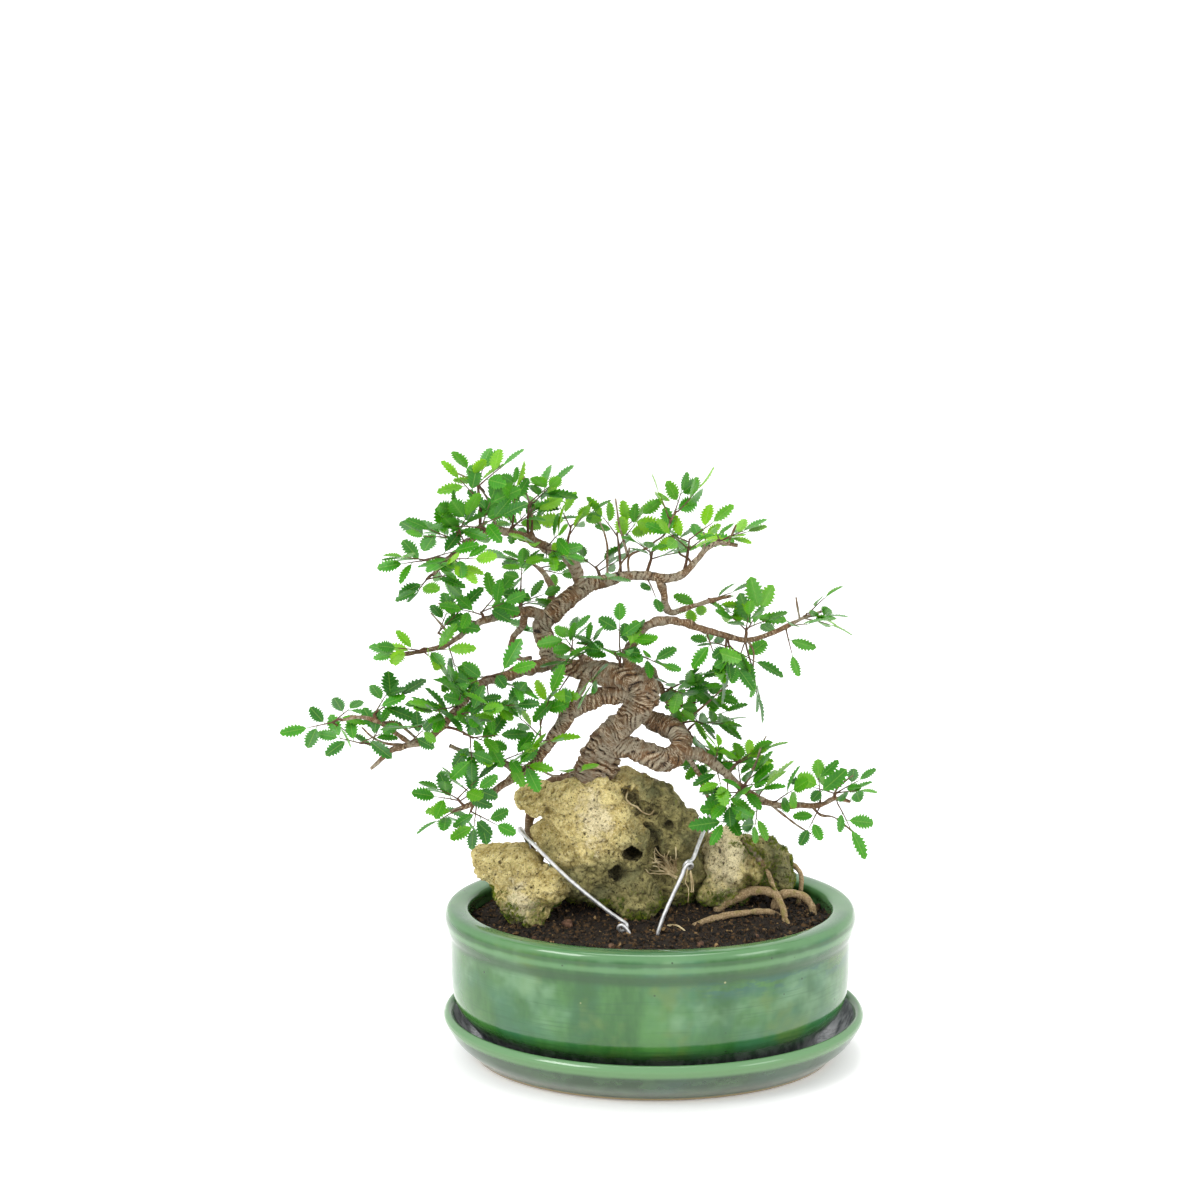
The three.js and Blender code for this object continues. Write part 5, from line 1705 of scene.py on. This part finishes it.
make_studio()

finishes = {
    name: material(label, build) for name, label, build in (
        ("pot", "pot glaze", pot_glaze),
        ("saucer", "saucer glaze", saucer_glaze),
        ("soil", "soil", soil_finish),
        ("crumb", "soil crumbs", crumb_finish((10, 6, 2), (106, 78, 44), (158, 128, 84))),
        ("clod", "pale clods", crumb_finish((84, 58, 42), (142, 106, 82), (96, 74, 52))),
        ("rock_main", "porous stone", stone_finish((4, -16, 98, 114), 86, (-29, 127, 10))),
        ("rock_left", "tan stone", stone_finish((-30, -50, 60, 80), 88, (-66, 83, 9))),
        ("rock_right", "mossy stone", stone_finish((56, 46, 76, 84), 92, (38, 102, 15))),
        ("bark", "bark", bark_finish((108, 84, 58), (28, 17, 8), (156, 148, 128), (196, 178, 150))),
        ("twig", "twig bark", bark_finish((90, 62, 42), (48, 30, 20), (106, 92, 70), (134, 108, 80))),
        ("leaf", "leaf", leaf_finish((130, 190, 8), (56, 138, 8), (26, 92, 6))),
        ("moss", "moss", moss_finish),
        ("wire", "drawn wire", wire_finish),
        ("rootlet", "dry rootlets", rootlet_finish),
    )
}

settle(make_saucer(finishes["saucer"]), "saucer_glaze", "saucer")
settle(make_pot(finishes["pot"]), "pot_glaze", "pot")
soil = settle(make_soil(finishes["soil"]), "soil", "soil")

scatter = scatter_tree()
mark_bed(soil, lambda place, normal: 1.0 if normal.z > 0.3 and place.z > SOIL_LEVEL - 3 else 0.0)
for number, cover in enumerate(CRUMBS):
    crumb = pebble(f"crumb_{number}", 3.1 * number, finishes["crumb"], (1.25, 0.85, 0.6))
    strewn = strew(f"soil_crumbs_{number}", soil, crumb, finishes["crumb"], scatter, cover, 5 + number)
    settle(strewn, "soil")

settle(make_clods(finishes["clod"]), "soil")

weather = weathered_tree()
beds = {}
for name, slot in (("rock_main", "stone"), ("rock_left", "stone"), ("rock_right", "mossy_stone")):
    beds[name] = settle(make_stone(name, finishes[name], weather), slot, name)
    mark_bed(beds[name], moss_share(name))

tuft = moss_tuft("moss_tuft", finishes["moss"])
strand = make_moss_strand(search_tree(beds["rock_right"].data, MM), finishes["bark"])
beds["moss_strand"] = settle(strand, "mossy_stone")
mark_bed(strand, lambda place, normal: min(1.0, max(0.0, place.z / 20 - 4)))
for name, bed in beds.items():
    strewn = strew(f"moss_on_{name}", bed, tuft, finishes["moss"], scatter, MOSS, 31, upright=1.0)
    settle(strewn, "mossy_stone")
settle(make_rootlets(search_tree(beds["rock_main"].data, MM), finishes["rootlet"]), "bark")

settle(make_tree(finishes["bark"]), "bark", "tree")
for name in WIRES:
    settle(make_wire(name, finishes["wire"]), "wire", name)

# Each leaf is a share of the usual length and width, then how much it folds and arches.
foliage = foliage_tree([
    make_leaf(f"leaf_{name}", LEAF_LENGTH * long, LEAF_WIDTH * wide, fold, arch, finishes["leaf"])
    for name, long, wide, fold, arch in (
        ("broad", 1, 1.05, 0.14, 0.9), ("narrow", 1.06, 0.88, 0.24, 1.8), ("round", 0.84, 1.05, 0.1, 0.4),
    )
])
for number, row in enumerate(SPRAYS):
    piece = make_spray(row, number, foliage, finishes["leaf"], finishes["twig"])
    settle(piece, "young_leaf" if row[5] else "leaf", "spray_" + row[0])
